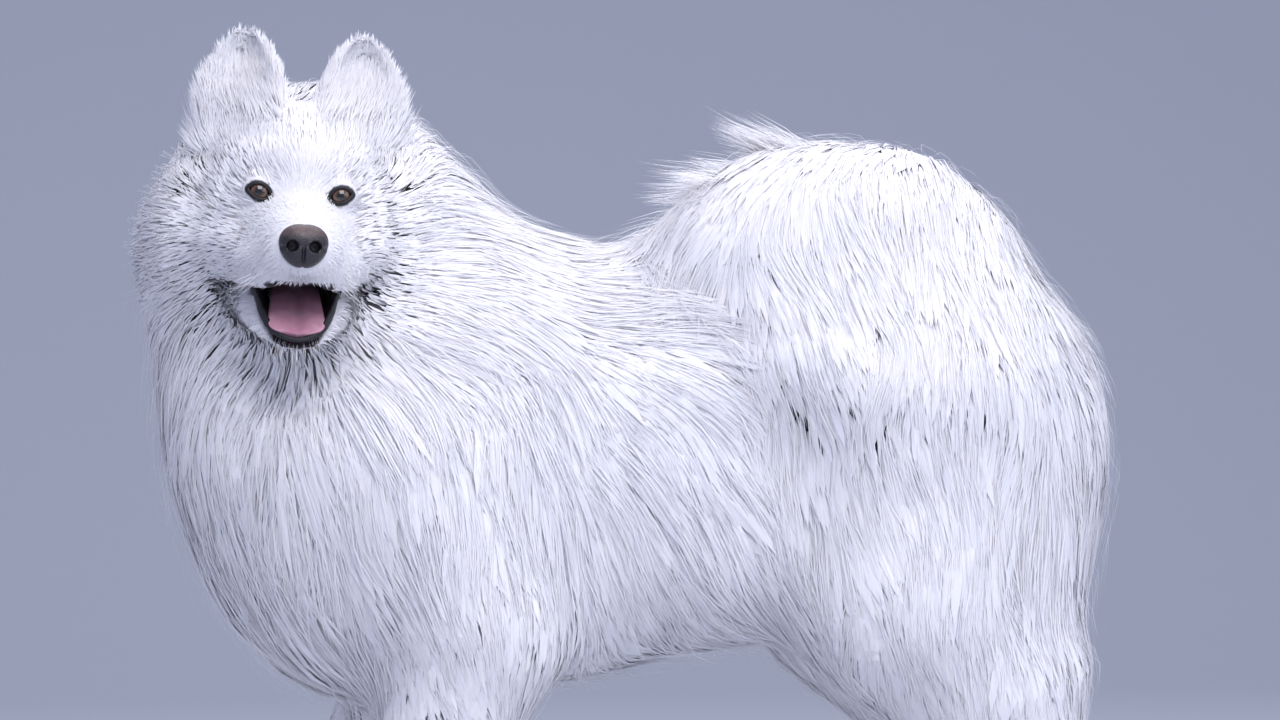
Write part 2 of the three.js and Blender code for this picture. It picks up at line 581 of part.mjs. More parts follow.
// A lock is a flat tapered strip: its rings are triangles, with the broad face on the coat below. It starts
// sunk in the core, rises through the coat along the lie, and its tip ends at the coat's tips.
const LOCK_LEVELS = [-0.45, 0.3, 0.75, 1];
const LOCK_WIDTHS = [0.72, 1, 0.72, 0];
function lockSpine(root, part, length, bend) {
  const spine = [];
  const point = root.clone();
  const steps = LOCK_LEVELS.length - 1;
  for (let i = 0; i <= steps; i++) {
    settle(point, LOCK_LEVELS[i]);
    const outward = outwardAt(point, LOCK_LEVELS[i]);
    const lie = lieAt(point, part);
    const along = lie.addScaledVector(outward, -lie.dot(outward)).normalize();
    along.applyAxisAngle(outward, bend * (1 - i / steps));
    spine.push({ point: point.clone(), outward, along });
    point.addScaledVector(along, length / steps);
  }
  return spine;
}
function lockShape(spine, width, height, grow) {
  const rings = spine.map(({ point, outward, along }, i) => {
    if (LOCK_WIDTHS[i] === 0) return [point.clone().addScaledVector(along, 3 * grow)];
    const half = (LOCK_WIDTHS[i] * width) / 2;
    const tall = height * mix(1, 0.75, i / (spine.length - 1));
    const across = outward.clone().cross(along).normalize();
    const corner = half + (grow * (half + Math.hypot(half, tall))) / tall;
    return [
      point.clone().addScaledVector(across, corner).addScaledVector(outward, -grow),
      point.clone().addScaledVector(outward, tall + 1.3 * grow),
      point.clone().addScaledVector(across, -corner).addScaledVector(outward, -grow),
    ];
  });
  const start = spine[0];
  rings.unshift([start.point.clone().addScaledVector(start.along, -6 - grow)]);
  return solid(ringMesh(rings));
}

// Locks spread evenly over a skin, where it shows and its coat is long.
const LONG_ENOUGH = 14;
const COVERED = 38; // a root that lies this deep below the whole dog's coat is under a neighbour's
function locksOn(part, skin, { apart, width, length, height = 13, hidden = () => false }) {
  const roots = [];
  const locks = [];
  for (let tries = 0; tries < 1600; tries++) {
    const pick = random();
    const t = pick < 0.15 ? 0 : pick > 0.85 ? 1 : random();
    const tilt = pick < 0.15 ? -Math.acos(random()) : pick > 0.85 ? Math.acos(random()) : 0;
    const start = skin.at(t, tilt, spread(0, 2 * Math.PI));
    if (hidden(start) || roots.some((other) => other.distanceTo(start) < apart)) continue;
    const root = settle(start.clone(), 0);
    if (root.distanceTo(start) > COVERED || coatOver(root) < LONG_ENOUGH) continue;
    const spine = lockSpine(root, part, length * spread(0.85, 1.15), spread(-0.3, 0.3));
    const lock = [spine, width * spread(0.88, 1.12), height];
    if (!mostlyClear(lockShape(...lock, 0))) continue;
    roots.push(start);
    locks.push(lock);
  }
  return locks;
}
// Whether a lock runs nearly clear of the pieces that are made already.
function mostlyClear(lock) {
  const taken = clearances.reduce((sum, cutter) => sum + lock.intersect(cutter).volume(), 0);
  return taken < 0.03 * lock.volume();
}
function locked(skin, locks) {
  return (grow) => locks.reduce((whole, lock) => whole.add(lockShape(...lock, grow)), skin(grow));
}

// Wisps fan out forward from the tip of the tail, and droop towards their ends.
const WISPS = 8;
function wisps() {
  return Array.from({ length: WISPS }, (_, i) => {
    const share = i / (WISPS - 1);
    const point = tailCurve.getPoint(mix(0.62, 0.98, share)).add(vec(0, -6 - 10 * (i % 2), mix(14, -6, share)));
    const along = vec(-1, -0.15, 0).applyAxisAngle(vec(0, 1, 0), mix(0.62, -0.4, share)).normalize();
    const outward = vec(0, -1, 0).addScaledVector(along, along.y).normalize();
    const spine = LOCK_WIDTHS.map(() => {
      const ring = { point: point.clone(), outward: outward.clone(), along: along.clone() };
      point.addScaledVector(along, mix(40, 34, share));
      along.add(vec(-0.12, 0, -0.16)).normalize();
      return ring;
    });
    return [spine, 40, 12];
  });
}

// The legs leave the middle of the trunk free, and a slit where the coats of left and right meet below it.
const inner = (grow) => [
  placed(block(2000, 96 - 2 * grow, 600 - 2 * grow), [0, 0, 340 + 300]),
  placed(block(2000, 8 - 2 * grow, 2000), [0, 0, 600]),
];

// Each piece in turn is cut clear, by the gap, of all the pieces before it.
const parts = {};
function keep(name, shape, grown) {
  parts[name] = without(shape, ...clearances);
  clearances.push(grown);
}

const HEAD_SIDES = [['right', -1], ['left', 1]]; // the head's X runs from its right side to its left
for (const [name, side] of HEAD_SIDES) keep(`eye_${name}`, eye(side, 0), eye(side, GAP));
keep('nose', without(nose(0), ...nostrils(), noseGroove()), nose(GAP));
keep('tongue', tongue(0), tongue(GAP));
for (const [name, side] of HEAD_SIDES) keep(`ear_${name}`, ear(side, 0), ear(side, GAP));
// The head's locks stand round the back of the cheeks only.
const intoHead = headFrame.clone().invert();
const onFace = (point) => {
  const at = point.clone().applyMatrix4(intoHead);
  return at.y < 30 || at.z > 40 || Math.abs(at.x) < 30;
};
const head = locked(headSkin, locksOn('neck', headSkin, { apart: 60, width: 62, length: 88, hidden: onFace }));
const lidded = HEAD_SIDES.reduce((whole, [, side]) => whole.add(lids(side)), head(0));
keep('head', without(lidded, lidOpening(-1), lidOpening(1), mouthRoof(), mouthGap(0)),
  without(head(GAP), mouthGap(GAP)));
keep('lips', lips(0), lips(GAP));
keep('jaw', without(jawSkin(0), aboveMouth()), jawSkin(GAP));

const neck = locked(neckSkin, locksOn('neck', neckSkin, { apart: 70, width: 92, length: 135 }));
keep('neck', neck(0), neck(GAP));
const plumeLocks = locksOn('tail', plumeSkin, { apart: 66, width: 80, length: 150, height: 12 });
const tail = locked(plumeSkin, [...plumeLocks, ...wisps()]);
keep('tail', tail(0), tail(GAP));

for (const [name, side] of [['left', -1], ['right', 1]]) {
  for (const [end, hind] of [['fore', false], ['hind', true]]) {
    const skin = hind ? hindlegSkin(side) : forelegSkin(side);
    const hidden = (point) => Math.abs(point.y) < 58;
    const locks = locksOn(`${end}leg`, skin, hind
      ? { apart: 80, width: 94, length: 145, hidden }
      : { apart: 72, width: 78, length: 118, hidden });
    const leg = locked(skin, locks);
    keep(`${end}leg_${name}`, without(leg(0), ...inner(0)), without(leg(GAP), ...inner(GAP)));
    const foot = claws(side, hind).reduce((whole, claw) => whole.add(claw), paw(side, hind));
    keep(`${end}paw_${name}`, without(foot, floor()), foot);
  }
}
const underBelly = (point) => Math.abs(point.y) < 62 && point.z < 372;
const torso = locked(trunkSkin, locksOn('torso', trunkSkin,
  { apart: 76, width: 94, length: 112, hidden: underBelly }));
keep('torso', torso(0), trunkSkin(0));

const WHITE = new THREE.MeshStandardMaterial({ color: 0xf2f3f8, roughness: 0.9 });
const BLACK = new THREE.MeshStandardMaterial({ color: 0x1c1a20, roughness: 0.5 });
const PINK = new THREE.MeshStandardMaterial({ color: 0xd08fa6, roughness: 0.4 });
const BROWN = new THREE.MeshStandardMaterial({ color: 0x4a3024, roughness: 0.1 });
const COLOURS = { eye_left: BROWN, eye_right: BROWN, nose: BLACK, lips: BLACK, tongue: PINK };

const dog = new THREE.Group();
for (const [name, shape] of Object.entries(parts)) {
  const mesh = new THREE.Mesh(toGeometry(shape), COLOURS[name] ?? WHITE);
  mesh.name = name;
  dog.add(mesh);
}
dog.position.set(-CENTRE[0], -CENTRE[1], 0);

export default dog;
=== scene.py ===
# A life-size standing samoyed with its head turned to the side. Sizes are in millimetres until to_metres(),
# and +Z is up.
import math

import bpy
import numpy as np
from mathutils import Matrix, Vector, kdtree


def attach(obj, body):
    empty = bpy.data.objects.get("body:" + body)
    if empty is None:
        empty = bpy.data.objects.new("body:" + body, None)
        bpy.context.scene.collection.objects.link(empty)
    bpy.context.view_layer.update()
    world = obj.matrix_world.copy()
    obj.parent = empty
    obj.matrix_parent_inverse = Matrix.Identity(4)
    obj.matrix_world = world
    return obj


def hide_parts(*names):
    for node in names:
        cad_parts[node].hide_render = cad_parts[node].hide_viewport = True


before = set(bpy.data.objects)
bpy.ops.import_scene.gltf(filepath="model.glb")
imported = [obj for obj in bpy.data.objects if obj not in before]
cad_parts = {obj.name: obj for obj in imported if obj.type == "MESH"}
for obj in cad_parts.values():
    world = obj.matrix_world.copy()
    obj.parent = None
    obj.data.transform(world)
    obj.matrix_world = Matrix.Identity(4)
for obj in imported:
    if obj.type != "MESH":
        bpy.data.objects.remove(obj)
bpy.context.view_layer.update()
rng = np.random.default_rng(7)

# Places and sizes along the body, from the point on the floor between the feet
WITHERS = 560.0
STANCE = 72.0
FORE_LEAD = -54.0
HIND_LEAD = -10.0
SHORT_COAT = 14.0
CORE_SHARE = 0.45
CENTRE = np.array([-10.0, -15.0, 0.0])
FORE_X = -0.33 * WITHERS
HIND_X = 0.45 * WITHERS
ELBOW_Z = 0.54 * WITHERS
WRIST_Z = 0.235 * WITHERS
KNEE_Z = 0.55 * WITHERS
HOCK_Z = 0.27 * WITHERS
TRUNK_Z = 0.775 * WITHERS
EYES = np.array([-278.5, -100.0, 632.0])
HEAD_YAW = math.radians(0.3)
HEAD_ROLL = math.radians(2.9)
EYE_SPREAD = 31.5
EYE_SLANT = 0.16
LID_CURVE = 1.4
EYE_RADIUS = 11.0
SIDES = (-1, 1)


def turn_z(angle):
    c, s = math.cos(angle), math.sin(angle)
    return np.array([[c, -s, 0], [s, c, 0], [0, 0, 1]])


def turn_y(angle):
    c, s = math.cos(angle), math.sin(angle)
    return np.array([[c, 0, s], [0, 1, 0], [-s, 0, c]])


HEAD_TURN = turn_z(HEAD_YAW) @ turn_y(HEAD_ROLL)


def from_head(points):
    return np.asarray(points, float) @ HEAD_TURN.T + EYES


def into_head(points):
    return (np.asarray(points, float) - EYES) @ HEAD_TURN


def mix(a, b, t):
    return a + (b - a) * t


def smooth_step(x, low, high):
    t = np.clip((x - low) / (high - low), 0, 1)
    return t * t * (3 - 2 * t)


def unit(v):
    return v / (np.linalg.norm(v, axis=-1, keepdims=True) + 1e-9)


def ripple(points, size, seed):
    """A smooth random number from -1 to 1 at each point."""
    local = np.random.default_rng(seed)
    made = np.zeros(len(points))
    for _ in range(6):
        way = unit(local.normal(size=3)) * local.uniform(0.6, 1.6) * 2 * math.pi / size
        made += np.sin(points @ way + local.uniform(0, 2 * math.pi))
    return np.clip(made / 3.2, -1, 1)


# A bone is a tapered rod of flesh with a coat over it: its ends, the flesh radius, the coat's depth and the
# width across the body as a share of the radius, each at both ends.
def bone(start, end, flesh, coat, width=(1, 1), head=False):
    return (np.array(start, float), np.array(end, float), flesh, coat, width, head)


chest_x = FORE_X + 35
rump_x = HIND_X - 8
TRUNK = [
    bone([chest_x, 0, TRUNK_Z], [20, 0, TRUNK_Z + 2], (121, 119), (42, 42), (0.66, 0.68)),
    bone([20, 0, TRUNK_Z + 5], [170, 0, TRUNK_Z + 26], (112, 92), (44, 48), (0.7, 0.78)),
    bone([170, 0, TRUNK_Z + 26], [rump_x - 8, 0, TRUNK_Z + 12], (92, 82), (50, 52), (0.84, 0.9)),
    bone([chest_x, 0, TRUNK_Z - 8], [chest_x - 45, 0, TRUNK_Z - 40], (106, 72), (52, 92), (0.68, 0.74)),
    bone([chest_x, 0, WITHERS - 44], [-80, 0, WITHERS - 44], (42, 42), (46, 42), (0.8, 0.8)),
    bone([-205, 0, 372], [-80, 0, 350], (48, 48), (78, 60), (0.9, 0.9)),
    bone([-50, 0, 358], [140, 0, 388], (30, 34), (70, 76), (1.2, 1.2)),
]
NECK = [
    bone([-150, 0, 474], [-258, 20, 594], (84, 74), (46, 56), (0.8, 0.42)),
    bone([-264, 14, 566], [-240, -4, 450], (78, 72), (60, 70), (0.42, 0.6)),
    bone([-240, -4, 444], [-214, 0, 370], (72, 60), (70, 62), (0.62, 0.85)),
]
HEAD = [
    bone([0, 96, 8], [0, 62, 14], (43, 45), (32, 21), (1.15, 1.2), True),
    bone([0, 44, 16], [0, 32, 12], (34, 30), (14, 6), (1.2, 1.2), True),
    *[bone([side * 33, 34, -12], [side * 46, 64, -14], (22, 24), (7, 40), head=True) for side in SIDES],
    bone([0, 8, -33], [0, -66, -46], (30, 21), (7, 5), (1.22, 1.26), True),
    *[bone([side * 21, -54, -61], [side * 33, -8, -56], (11, 14), (4, 8), head=True) for side in SIDES],
    *[bone([side * 46, 26, -42], [side * 58, 58, -40], (13, 18), (22, 44), head=True) for side in SIDES],
]
JAW = [bone([0, 26, -84], [0, -46, -108.5], (25, 9.5), (7, 5), (1.62, 2.1), True)]


def foreleg(side):
    x = FORE_X + (FORE_LEAD if side > 0 else 0)
    y = side * STANCE
    return [
        bone([FORE_X + 6, side * 70, 410], [FORE_X + 38, side * 76, ELBOW_Z], (50, 38), (40, 34), (0.8, 0.9)),
        bone([FORE_X + 36, side * 76, ELBOW_Z], [x, y, WRIST_Z], (34, 20), (28, 12)),
        bone([FORE_X + 52, side * 76, ELBOW_Z - 24], [x + 16, y, WRIST_Z + 30], (20, 12), (42, 16)),
        bone([x, y, WRIST_Z], [x - 12, y, 42], (20, 20), (10, 9)),
        bone([x - 8, y, 26], [x - 40, y - side * 2, 21], (25, 22), (7, 6), (1.12, 1.15)),
    ]


def hindleg(side):
    x = HIND_X + (HIND_LEAD if side > 0 else 0)
    y = side * STANCE
    return [
        bone([rump_x - 6, side * 52, 452], [x - 48, side * 76, KNEE_Z + 14], (82, 54), (50, 44),
             (0.62, 0.75)),
        bone([rump_x + 16, side * 44, 400], [x + 16, side * 64, 280], (48, 30), (66, 50), (0.8, 0.8)),
        bone([x - 48, side * 76, KNEE_Z + 10], [x + 58, y, HOCK_Z], (45, 22), (40, 22), (0.8, 1)),
        bone([x + 34, side * 70, 236], [x + 56, y, HOCK_Z + 24], (20, 14), (52, 26)),
        bone([x + 58, y, HOCK_Z], [x + 42, y, 44], (20, 19), (14, 9)),
        bone([x + 40, y, 26], [x + 4, y - side * 2, 21], (25, 22), (7, 6), (1.1, 1.12)),
    ]


TAIL_LINE = np.array([
    [rump_x - 8, 0, 506], [rump_x + 12, -3, 548], [rump_x + 2, -10, 588], [rump_x - 34, -22, 614],
    [rump_x - 88, -38, 624], [rump_x - 143, -52, 614], [rump_x - 188, -62, 590],
])


def through(points, t):
    """A smooth curve through points, at t from 0 to 1."""
    points = np.asarray(points, float)
    ends = [2 * points[0] - points[1], *points, 2 * points[-1] - points[-2]]
    at = np.clip(np.atleast_1d(t), 0, 1) * (len(points) - 1)
    i = np.minimum(at.astype(int), len(points) - 2)
    f = (at - i)[:, None]
    p = np.array(ends)
    a, b, c, d = p[i], p[i + 1], p[i + 2], p[i + 3]
    return 0.5 * (2 * b + (c - a) * f + (2 * a - 5 * b + 4 * c - d) * f ** 2
                  + (3 * b - a - 3 * c + d) * f ** 3)


TAIL_BONES = 10
tail_points = through(TAIL_LINE, np.linspace(0, 1, TAIL_BONES + 1))
TAIL = [
    bone(tail_points[i], tail_points[i + 1],
         (mix(20, 8, i / TAIL_BONES), mix(20, 8, (i + 1) / TAIL_BONES)),
         (mix(34, 44, i / TAIL_BONES), mix(34, 44, (i + 1) / TAIL_BONES)))
    for i in range(TAIL_BONES)
]
PLUME = [
    bone(start, end, (12, 8), (42, 38)) for start, end in [
        ([246, -44, 586], [256, -112, 480]), ([196, -56, 598], [206, -116, 474]),
        ([146, -60, 602], [156, -112, 484]), ([98, -62, 600], [112, -104, 506]),
    ]
]
TOES = (-1.5, -0.5, 0.5, 1.5)


def paw_x(side, hind):
    lead = (HIND_LEAD if hind else FORE_LEAD) if side > 0 else 0
    return (HIND_X + 2 if hind else FORE_X - 42) + lead


def toes(side, hind):
    x = paw_x(side, hind)
    wide = 0.92 if hind else 1
    made = []
    for toe in TOES:
        forward = 5 - 4.5 * (abs(toe) - 0.5)
        y = side * (STANCE - 1) + toe * 14 * wide
        root = [x + 18, mix(side * STANCE, y, 0.85), 22]
        made.append(bone(root, [x - 8 - forward, y, 13], (10, 8.4), (4, 4)))
    return made


PARTS = {
    "head": HEAD + JAW,
    "neck": NECK,
    "torso": TRUNK,
    "tail": TAIL + PLUME,
    "foreleg_left": foreleg(-1), "foreleg_right": foreleg(1),
    "hindleg_left": hindleg(-1), "hindleg_right": hindleg(1),
}
PART_NAMES = list(PARTS)
BONES = [(b, PART_NAMES.index(name)) for name, bones in PARTS.items() for b in bones]
SMOOTH = 8.0


def core_depth(coat):
    return np.minimum(coat, np.maximum(SHORT_COAT, CORE_SHARE * coat))


def bone_distance(b, points, level):
    """How far points are outside a bone; level -1 is the skin, 0 the coat's core, 1 its tips."""
    start, end, flesh, coat, width, head = b
    p = into_head(points) if head else points
    axis = end - start
    t = np.clip((p - start) @ axis / (axis @ axis), 0, 1)
    inner = mix(flesh[0], flesh[1], t)
    full = mix(coat[0], coat[1], t)
    core = core_depth(full)
    depth = np.where(level < 0, core * (1 + level), mix(core, full, level))
    radius = inner + depth
    stretch = (mix(width[0], width[1], t) * inner + depth) / radius
    off = p - start - t[:, None] * axis
    across = 0 if head else 1
    off[:, across] /= stretch
    return np.sqrt((off ** 2).sum(1)) - radius


def smooth_min(a, b, blend):
    h = np.clip(0.5 + 0.5 * (b - a) / blend, 0, 1)
    return mix(b, a, h) - blend * h * (1 - h)


NOTHING_NEAR = 80.0


def out_of_reach(b, low, high):
    """Whether a bone is so far from a box that it doesn't count there."""
    start, end, flesh, coat, _, head = b
    ends = from_head([start, end]) if head else np.array([start, end])
    reach = (max(flesh) + max(coat)) * 1.25 + NOTHING_NEAR
    return bool(np.any(ends.min(0) - reach > high) or np.any(ends.max(0) + reach < low))


def parts_field(points, bones, level, blend):
    total = np.full(len(points), 1e-30)
    if len(points) == 0:
        return total
    low, high = points.min(0), points.max(0)
    for b in bones:
        if not out_of_reach(b, low, high):
            total += np.exp(np.clip(-bone_distance(b, points, level) / blend, -80, 60))
    return -blend * np.log(total)


def in_blocks(function, points, *others):
    """A function of points, worked out for one block of space after another."""
    key = np.floor(points[:, 0] / 70) * 64 + np.floor(points[:, 2] / 70)
    order = np.argsort(key, kind="stable")
    made = np.empty(len(points))
    for block in np.split(order, np.flatnonzero(np.diff(key[order])) + 1):
        made[block] = function(points[block], *(other[block] for other in others))
    return made


# How far the coat fills the crease between each part of the body and the parts before it
CREASES = {"head": 0, "neck": 46, "torso": 40, "tail": 52, "foreleg_left": 32, "foreleg_right": 32,
           "hindleg_left": 40, "hindleg_right": 40}


def field(points, level):
    """How far points are outside the coat at a level; -1 is the skin, 0 the core, 1 the tips."""
    return in_blocks(whole_field, points, np.broadcast_to(np.asarray(level, float), len(points)))


def whole_field(points, level):
    made = None
    for name, bones in PARTS.items():
        part = parts_field(points, bones, level, SMOOTH)
        made = part if made is None else smooth_min(made, part, CREASES[name])
    return made


def slope(points, level, d=2.0):
    made = np.empty((len(points), 3))
    for k in range(3):
        step = np.zeros(3)
        step[k] = d
        made[:, k] = field(points + step, level) - field(points - step, level)
    return made / (np.linalg.norm(made, axis=1, keepdims=True) + 1e-9)


# The ears, as bent blades with a cup in front, in the head's own directions
EAR_HEIGHTS = [40, 60, 79, 97, 111, 122, 129, 133]
EAR_HALF_WIDTHS = [42, 44, 41, 34, 26.5, 18, 10, 0]
EAR_CUPS = [1, 5, 10, 12, 10, 6, 2.5, 0]
EAR_TURN = 0.28


def ear_distance(points, side, less):
    """Roughly how far points in the head's directions are outside an ear whose coat is thinner by less."""
    height = points[:, 2]
    level = np.interp(height, EAR_HEIGHTS, np.linspace(0, 1, 8))
    half = np.interp(height, EAR_HEIGHTS, EAR_HALF_WIDTHS) - less
    cup = np.interp(height, EAR_HEIGHTS, EAR_CUPS)
    x = points[:, 0] - side * mix(45, 47, level)
    y = points[:, 1] - mix(58, 44, level)
    across = (x + side * EAR_TURN * y) / math.hypot(1, EAR_TURN)
    outward = (side * EAR_TURN * x - y) / math.hypot(1, EAR_TURN)
    u = np.clip(across / np.maximum(half, 1), -1, 1)
    v = np.sqrt(np.maximum(0, 1 - u ** 2))
    hollow = cup * 1.25 * np.maximum(0, 1 - (u / 0.8) ** 2)
    front = (0.3 * half + 3) * v - hollow
    back = (0.42 * half + 6) * v
    thin = less * 0.8 * v
    face = np.maximum(outward - front + thin, -outward - back + thin)
    edge = np.abs(across) - half
    top = height - (EAR_HEIGHTS[-1] - less)
    foot = EAR_HEIGHTS[0] - 16 - height
    return np.maximum.reduce([face * 0.8, edge * 0.9, top, foot])


def eye_opening(p, side, half_width, half_height):
    """Below 1 in an almond round an eye, in the head's directions."""
    x, y, z = p.T
    across = x - side * EYE_SPREAD
    height = z - EYE_SLANT * side * across
    almond = (across / half_width) ** 2 + (np.abs(height) / half_height) ** (2 / LID_CURVE)
    return np.where(y < 10, almond, 9.0)


# The open mouth: a hollow below the roof and above the lower jaw
MOUTH_SIDE = np.array([
    [7, -62], [-4, -68], [-24, -74], [-50, -77], [-66, -71], [-110, -70], [-110, -160], [7, -160],
])
MOUTH_HALF_WIDTH = 38
MOUTH_SLOPE = 0.746
MOUTH_ROOF = [0, -26, -82], [27, 47, 23]
MOUTH_FLOOR = [0, -14, -78], [26, 44, 15]
NOSE = np.array([0, -82, -43])


def above_jaw(head_points):
    """How far points lie above the plane that tops the lower jaw."""
    y, z = head_points[:, 1] + 22, head_points[:, 2] + 39
    return 40.6 - y * math.sin(MOUTH_SLOPE) + z * math.cos(MOUTH_SLOPE)


def polygon_distance(points, outline):
    """How far points are outside a polygon, below 0 inside."""
    best = np.full(len(points), 1e9)
    inside = np.zeros(len(points), bool)
    for a, b in zip(outline, np.roll(outline, -1, 0)):
        edge = b - a
        t = np.clip((points - a) @ edge / (edge @ edge), 0, 1)
        best = np.minimum(best, np.linalg.norm(points - a - t[:, None] * edge, axis=1))
        crosses = (a[1] > points[:, 1]) != (b[1] > points[:, 1])
        with np.errstate(divide="ignore", invalid="ignore"):
            at = (b[0] - a[0]) * (points[:, 1] - a[1]) / (b[1] - a[1]) + a[0]
        inside ^= crosses & (points[:, 0] < at)
    return np.where(inside, -best, best)


def ellipsoid(points, centre, radii):
    k = np.linalg.norm((points - centre) / radii, axis=1)
    return (k - 1) * min(radii)


# How far the skin lies below the coat's core on the head, where the coat is short
FACE_LEVEL = -0.55


def skin_field(points):
    """The skin's own surface, below 0 inside: body, ears, mouth, lids and toes."""
    upper = [b for b, _ in BONES if b[5] and b is not JAW[0]]
    body = [b for b, _ in BONES if not b[5] and not any(b is hair for hair in PLUME)]
    made = parts_field(points, body, -1, SMOOTH)
    near_head = np.abs(points - (EYES + [0, 10, 0])).max(1) < 200
    p = into_head(points[near_head])
    crown = parts_field(points[near_head], upper, FACE_LEVEL, 6.0)
    for side in SIDES:
        crown = smooth_min(crown, ear_distance(p, side, 5.0), 16.0)
        round_eye = np.linalg.norm(p - [side * EYE_SPREAD, 9.5, 0], axis=1) - EYE_RADIUS - 2.2
        crown = smooth_min(crown, round_eye, 3.0)
    gap = np.maximum(polygon_distance(p[:, 1:], MOUTH_SIDE), np.abs(p[:, 0]) - MOUTH_HALF_WIDTH)
    crown = np.maximum(crown, -np.minimum(gap, ellipsoid(p, *MOUTH_ROOF)))
    crown = np.maximum(crown, -ellipsoid(p, NOSE + [0, -6, 0], [16, 14, 13.5]))
    for side in SIDES:
        crown = np.maximum(crown, 4 - 4 * eye_opening(p, side, 9.4, 6.7))
    jaw = parts_field(points[near_head], JAW, FACE_LEVEL, 6.0)
    jaw = np.maximum(jaw, above_jaw(p))
    jaw = np.maximum(jaw, -ellipsoid(p, *MOUTH_FLOOR))
    head = smooth_min(crown, jaw, 2.0)
    made[near_head] = smooth_min(made[near_head], head, 6.0)
    for side in SIDES:
        for hind in (False, True):
            near = np.abs(points - [paw_x(side, hind) + 10, side * STANCE, 30]).max(1) < 70
            made[near] = smooth_min(made[near], parts_field(points[near], toes(side, hind), -1, 2.0), 3.0)
    return made


def grid_axis(low, high, fine_low, fine_high, coarse, fine):
    before = np.linspace(low, fine_low, max(2, int((fine_low - low) / coarse)), endpoint=False)
    middle = np.linspace(fine_low, fine_high, int((fine_high - fine_low) / fine), endpoint=False)
    after = np.linspace(fine_high, high, max(2, int((high - fine_high) / coarse)))
    return np.concatenate([before, middle, after])


def both_ends(axis):
    """The slices of a grid that take the lower and the upper end of each of its edges along an axis."""
    low, high = [slice(None)] * 3, [slice(None)] * 3
    low[axis], high[axis] = slice(0, -1), slice(1, None)
    return tuple(low), tuple(high)


def surface(function, axes):
    """A closed mesh of quads where a function is 0, with one corner in each grid cell that it crosses."""
    shape = tuple(len(a) for a in axes)
    values = np.empty(shape)
    yz = np.stack(np.meshgrid(axes[1], axes[2], indexing="ij"), -1).reshape(-1, 2)
    for i, x in enumerate(axes[0]):
        values[i] = in_blocks(function, np.column_stack([np.full(len(yz), x), yz])).reshape(shape[1:])
    inside = values < 0
    cells = [n - 1 for n in shape]
    total = np.zeros((*cells, 3))
    count = np.zeros(cells)
    for axis in range(3):
        low, high = both_ends(axis)
        a, b = values[low], values[high]
        cross = inside[low] != inside[high]
        i, j, k = np.nonzero(cross)
        share = a[cross] / (a[cross] - b[cross])
        place = np.stack([axes[0][i], axes[1][j], axes[2][k]], 1)
        ahead = [i, j, k]
        ahead[axis] = ahead[axis] + 1
        place[:, axis] += share * (axes[axis][ahead[axis]] - place[:, axis])
        others = [o for o in range(3) if o != axis]
        for da in (0, -1):
            for db in (0, -1):
                at = [i.copy(), j.copy(), k.copy()]
                at[others[0]] += da
                at[others[1]] += db
                ok = np.all([(at[o] >= 0) & (at[o] < cells[o]) for o in range(3)], axis=0)
                where = tuple(c[ok] for c in at)
                np.add.at(total, where, place[ok])
                np.add.at(count, where, 1)
    used = count > 0
    number = np.full(cells, -1)
    number[used] = np.arange(used.sum())
    corners = total[used] / count[used][:, None]
    quads = []
    for axis in range(3):
        low, high = both_ends(axis)
        starts, ends = inside[low], inside[high]
        u, v = [(1, 2), (2, 0), (0, 1)][axis]
        for flip, crossing in ((False, starts & ~ends), (True, ~starts & ends)):
            at = np.array(np.nonzero(crossing))
            ok = (at[u] > 0) & (at[v] > 0) & (at[u] < cells[u]) & (at[v] < cells[v])
            at = at[:, ok]
            ring = []
            for du, dv in ((0, 0), (-1, 0), (-1, -1), (0, -1)):
                c = at.copy()
                c[u] += du
                c[v] += dv
                ring.append(number[tuple(c)])
            ring = np.stack(ring, 1)
            quads.append(ring[:, ::-1] if flip else ring)
    return corners, np.concatenate(quads)


def to_metres(points):
    return (np.asarray(points) - CENTRE) * 0.001


def mesh_object(name, points, faces, in_head=False):
    """A smooth mesh from points and faces that all have as many corners."""
    points = from_head(points) if in_head else np.asarray(points)
    mesh = bpy.data.meshes.new(name)
    faces = np.asarray(faces)
    corners = faces.shape[1]
    mesh.vertices.add(len(points))
    mesh.vertices.foreach_set("co", to_metres(points).astype(np.float32).ravel())
    mesh.loops.add(faces.size)
    mesh.loops.foreach_set("vertex_index", faces.astype(np.int32).ravel())
    mesh.polygons.add(len(faces))
    mesh.polygons.foreach_set("loop_start", np.arange(0, faces.size, corners, dtype=np.int32))
    mesh.polygons.foreach_set("use_smooth", np.ones(len(faces), bool))
    mesh.update(calc_edges=True)
    mesh.validate()
    made = bpy.data.objects.new(name, mesh)
    bpy.context.scene.collection.objects.link(made)
    return made


def belongs(piece, material_slot, *nodes):
    """Puts a piece on the dog's one body and hides the nodes that it replaces. Its material_slot is not used.
    """
    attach(piece, "root")
    if nodes:
        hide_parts(*nodes)


def colour_layer(mesh, values):
    """Keeps a colour for each point of a mesh, which coat_colour() reads in a material."""
    layer = mesh.color_attributes.new("Coat", "FLOAT_COLOR", "POINT")
    rgba = np.ones((len(values), 4), np.float32)
    rgba[:, :3] = values
    layer.data.foreach_set("color", rgba.ravel())


def hand(side):
    return "left" if side > 0 else "right"


# The materials

def material(name, **sockets):
    made = bpy.data.materials.new(name)
    made.use_nodes = True
    shader = made.node_tree.nodes["Principled BSDF"]
    for socket, value in sockets.items():
        shader.inputs[socket.replace("_", " ")].default_value = value
    return made, made.node_tree, shader


def coat_colour(tree):
    layer = tree.nodes.new("ShaderNodeVertexColor")
    layer.layer_name = "Coat"
    return layer.outputs["Color"]


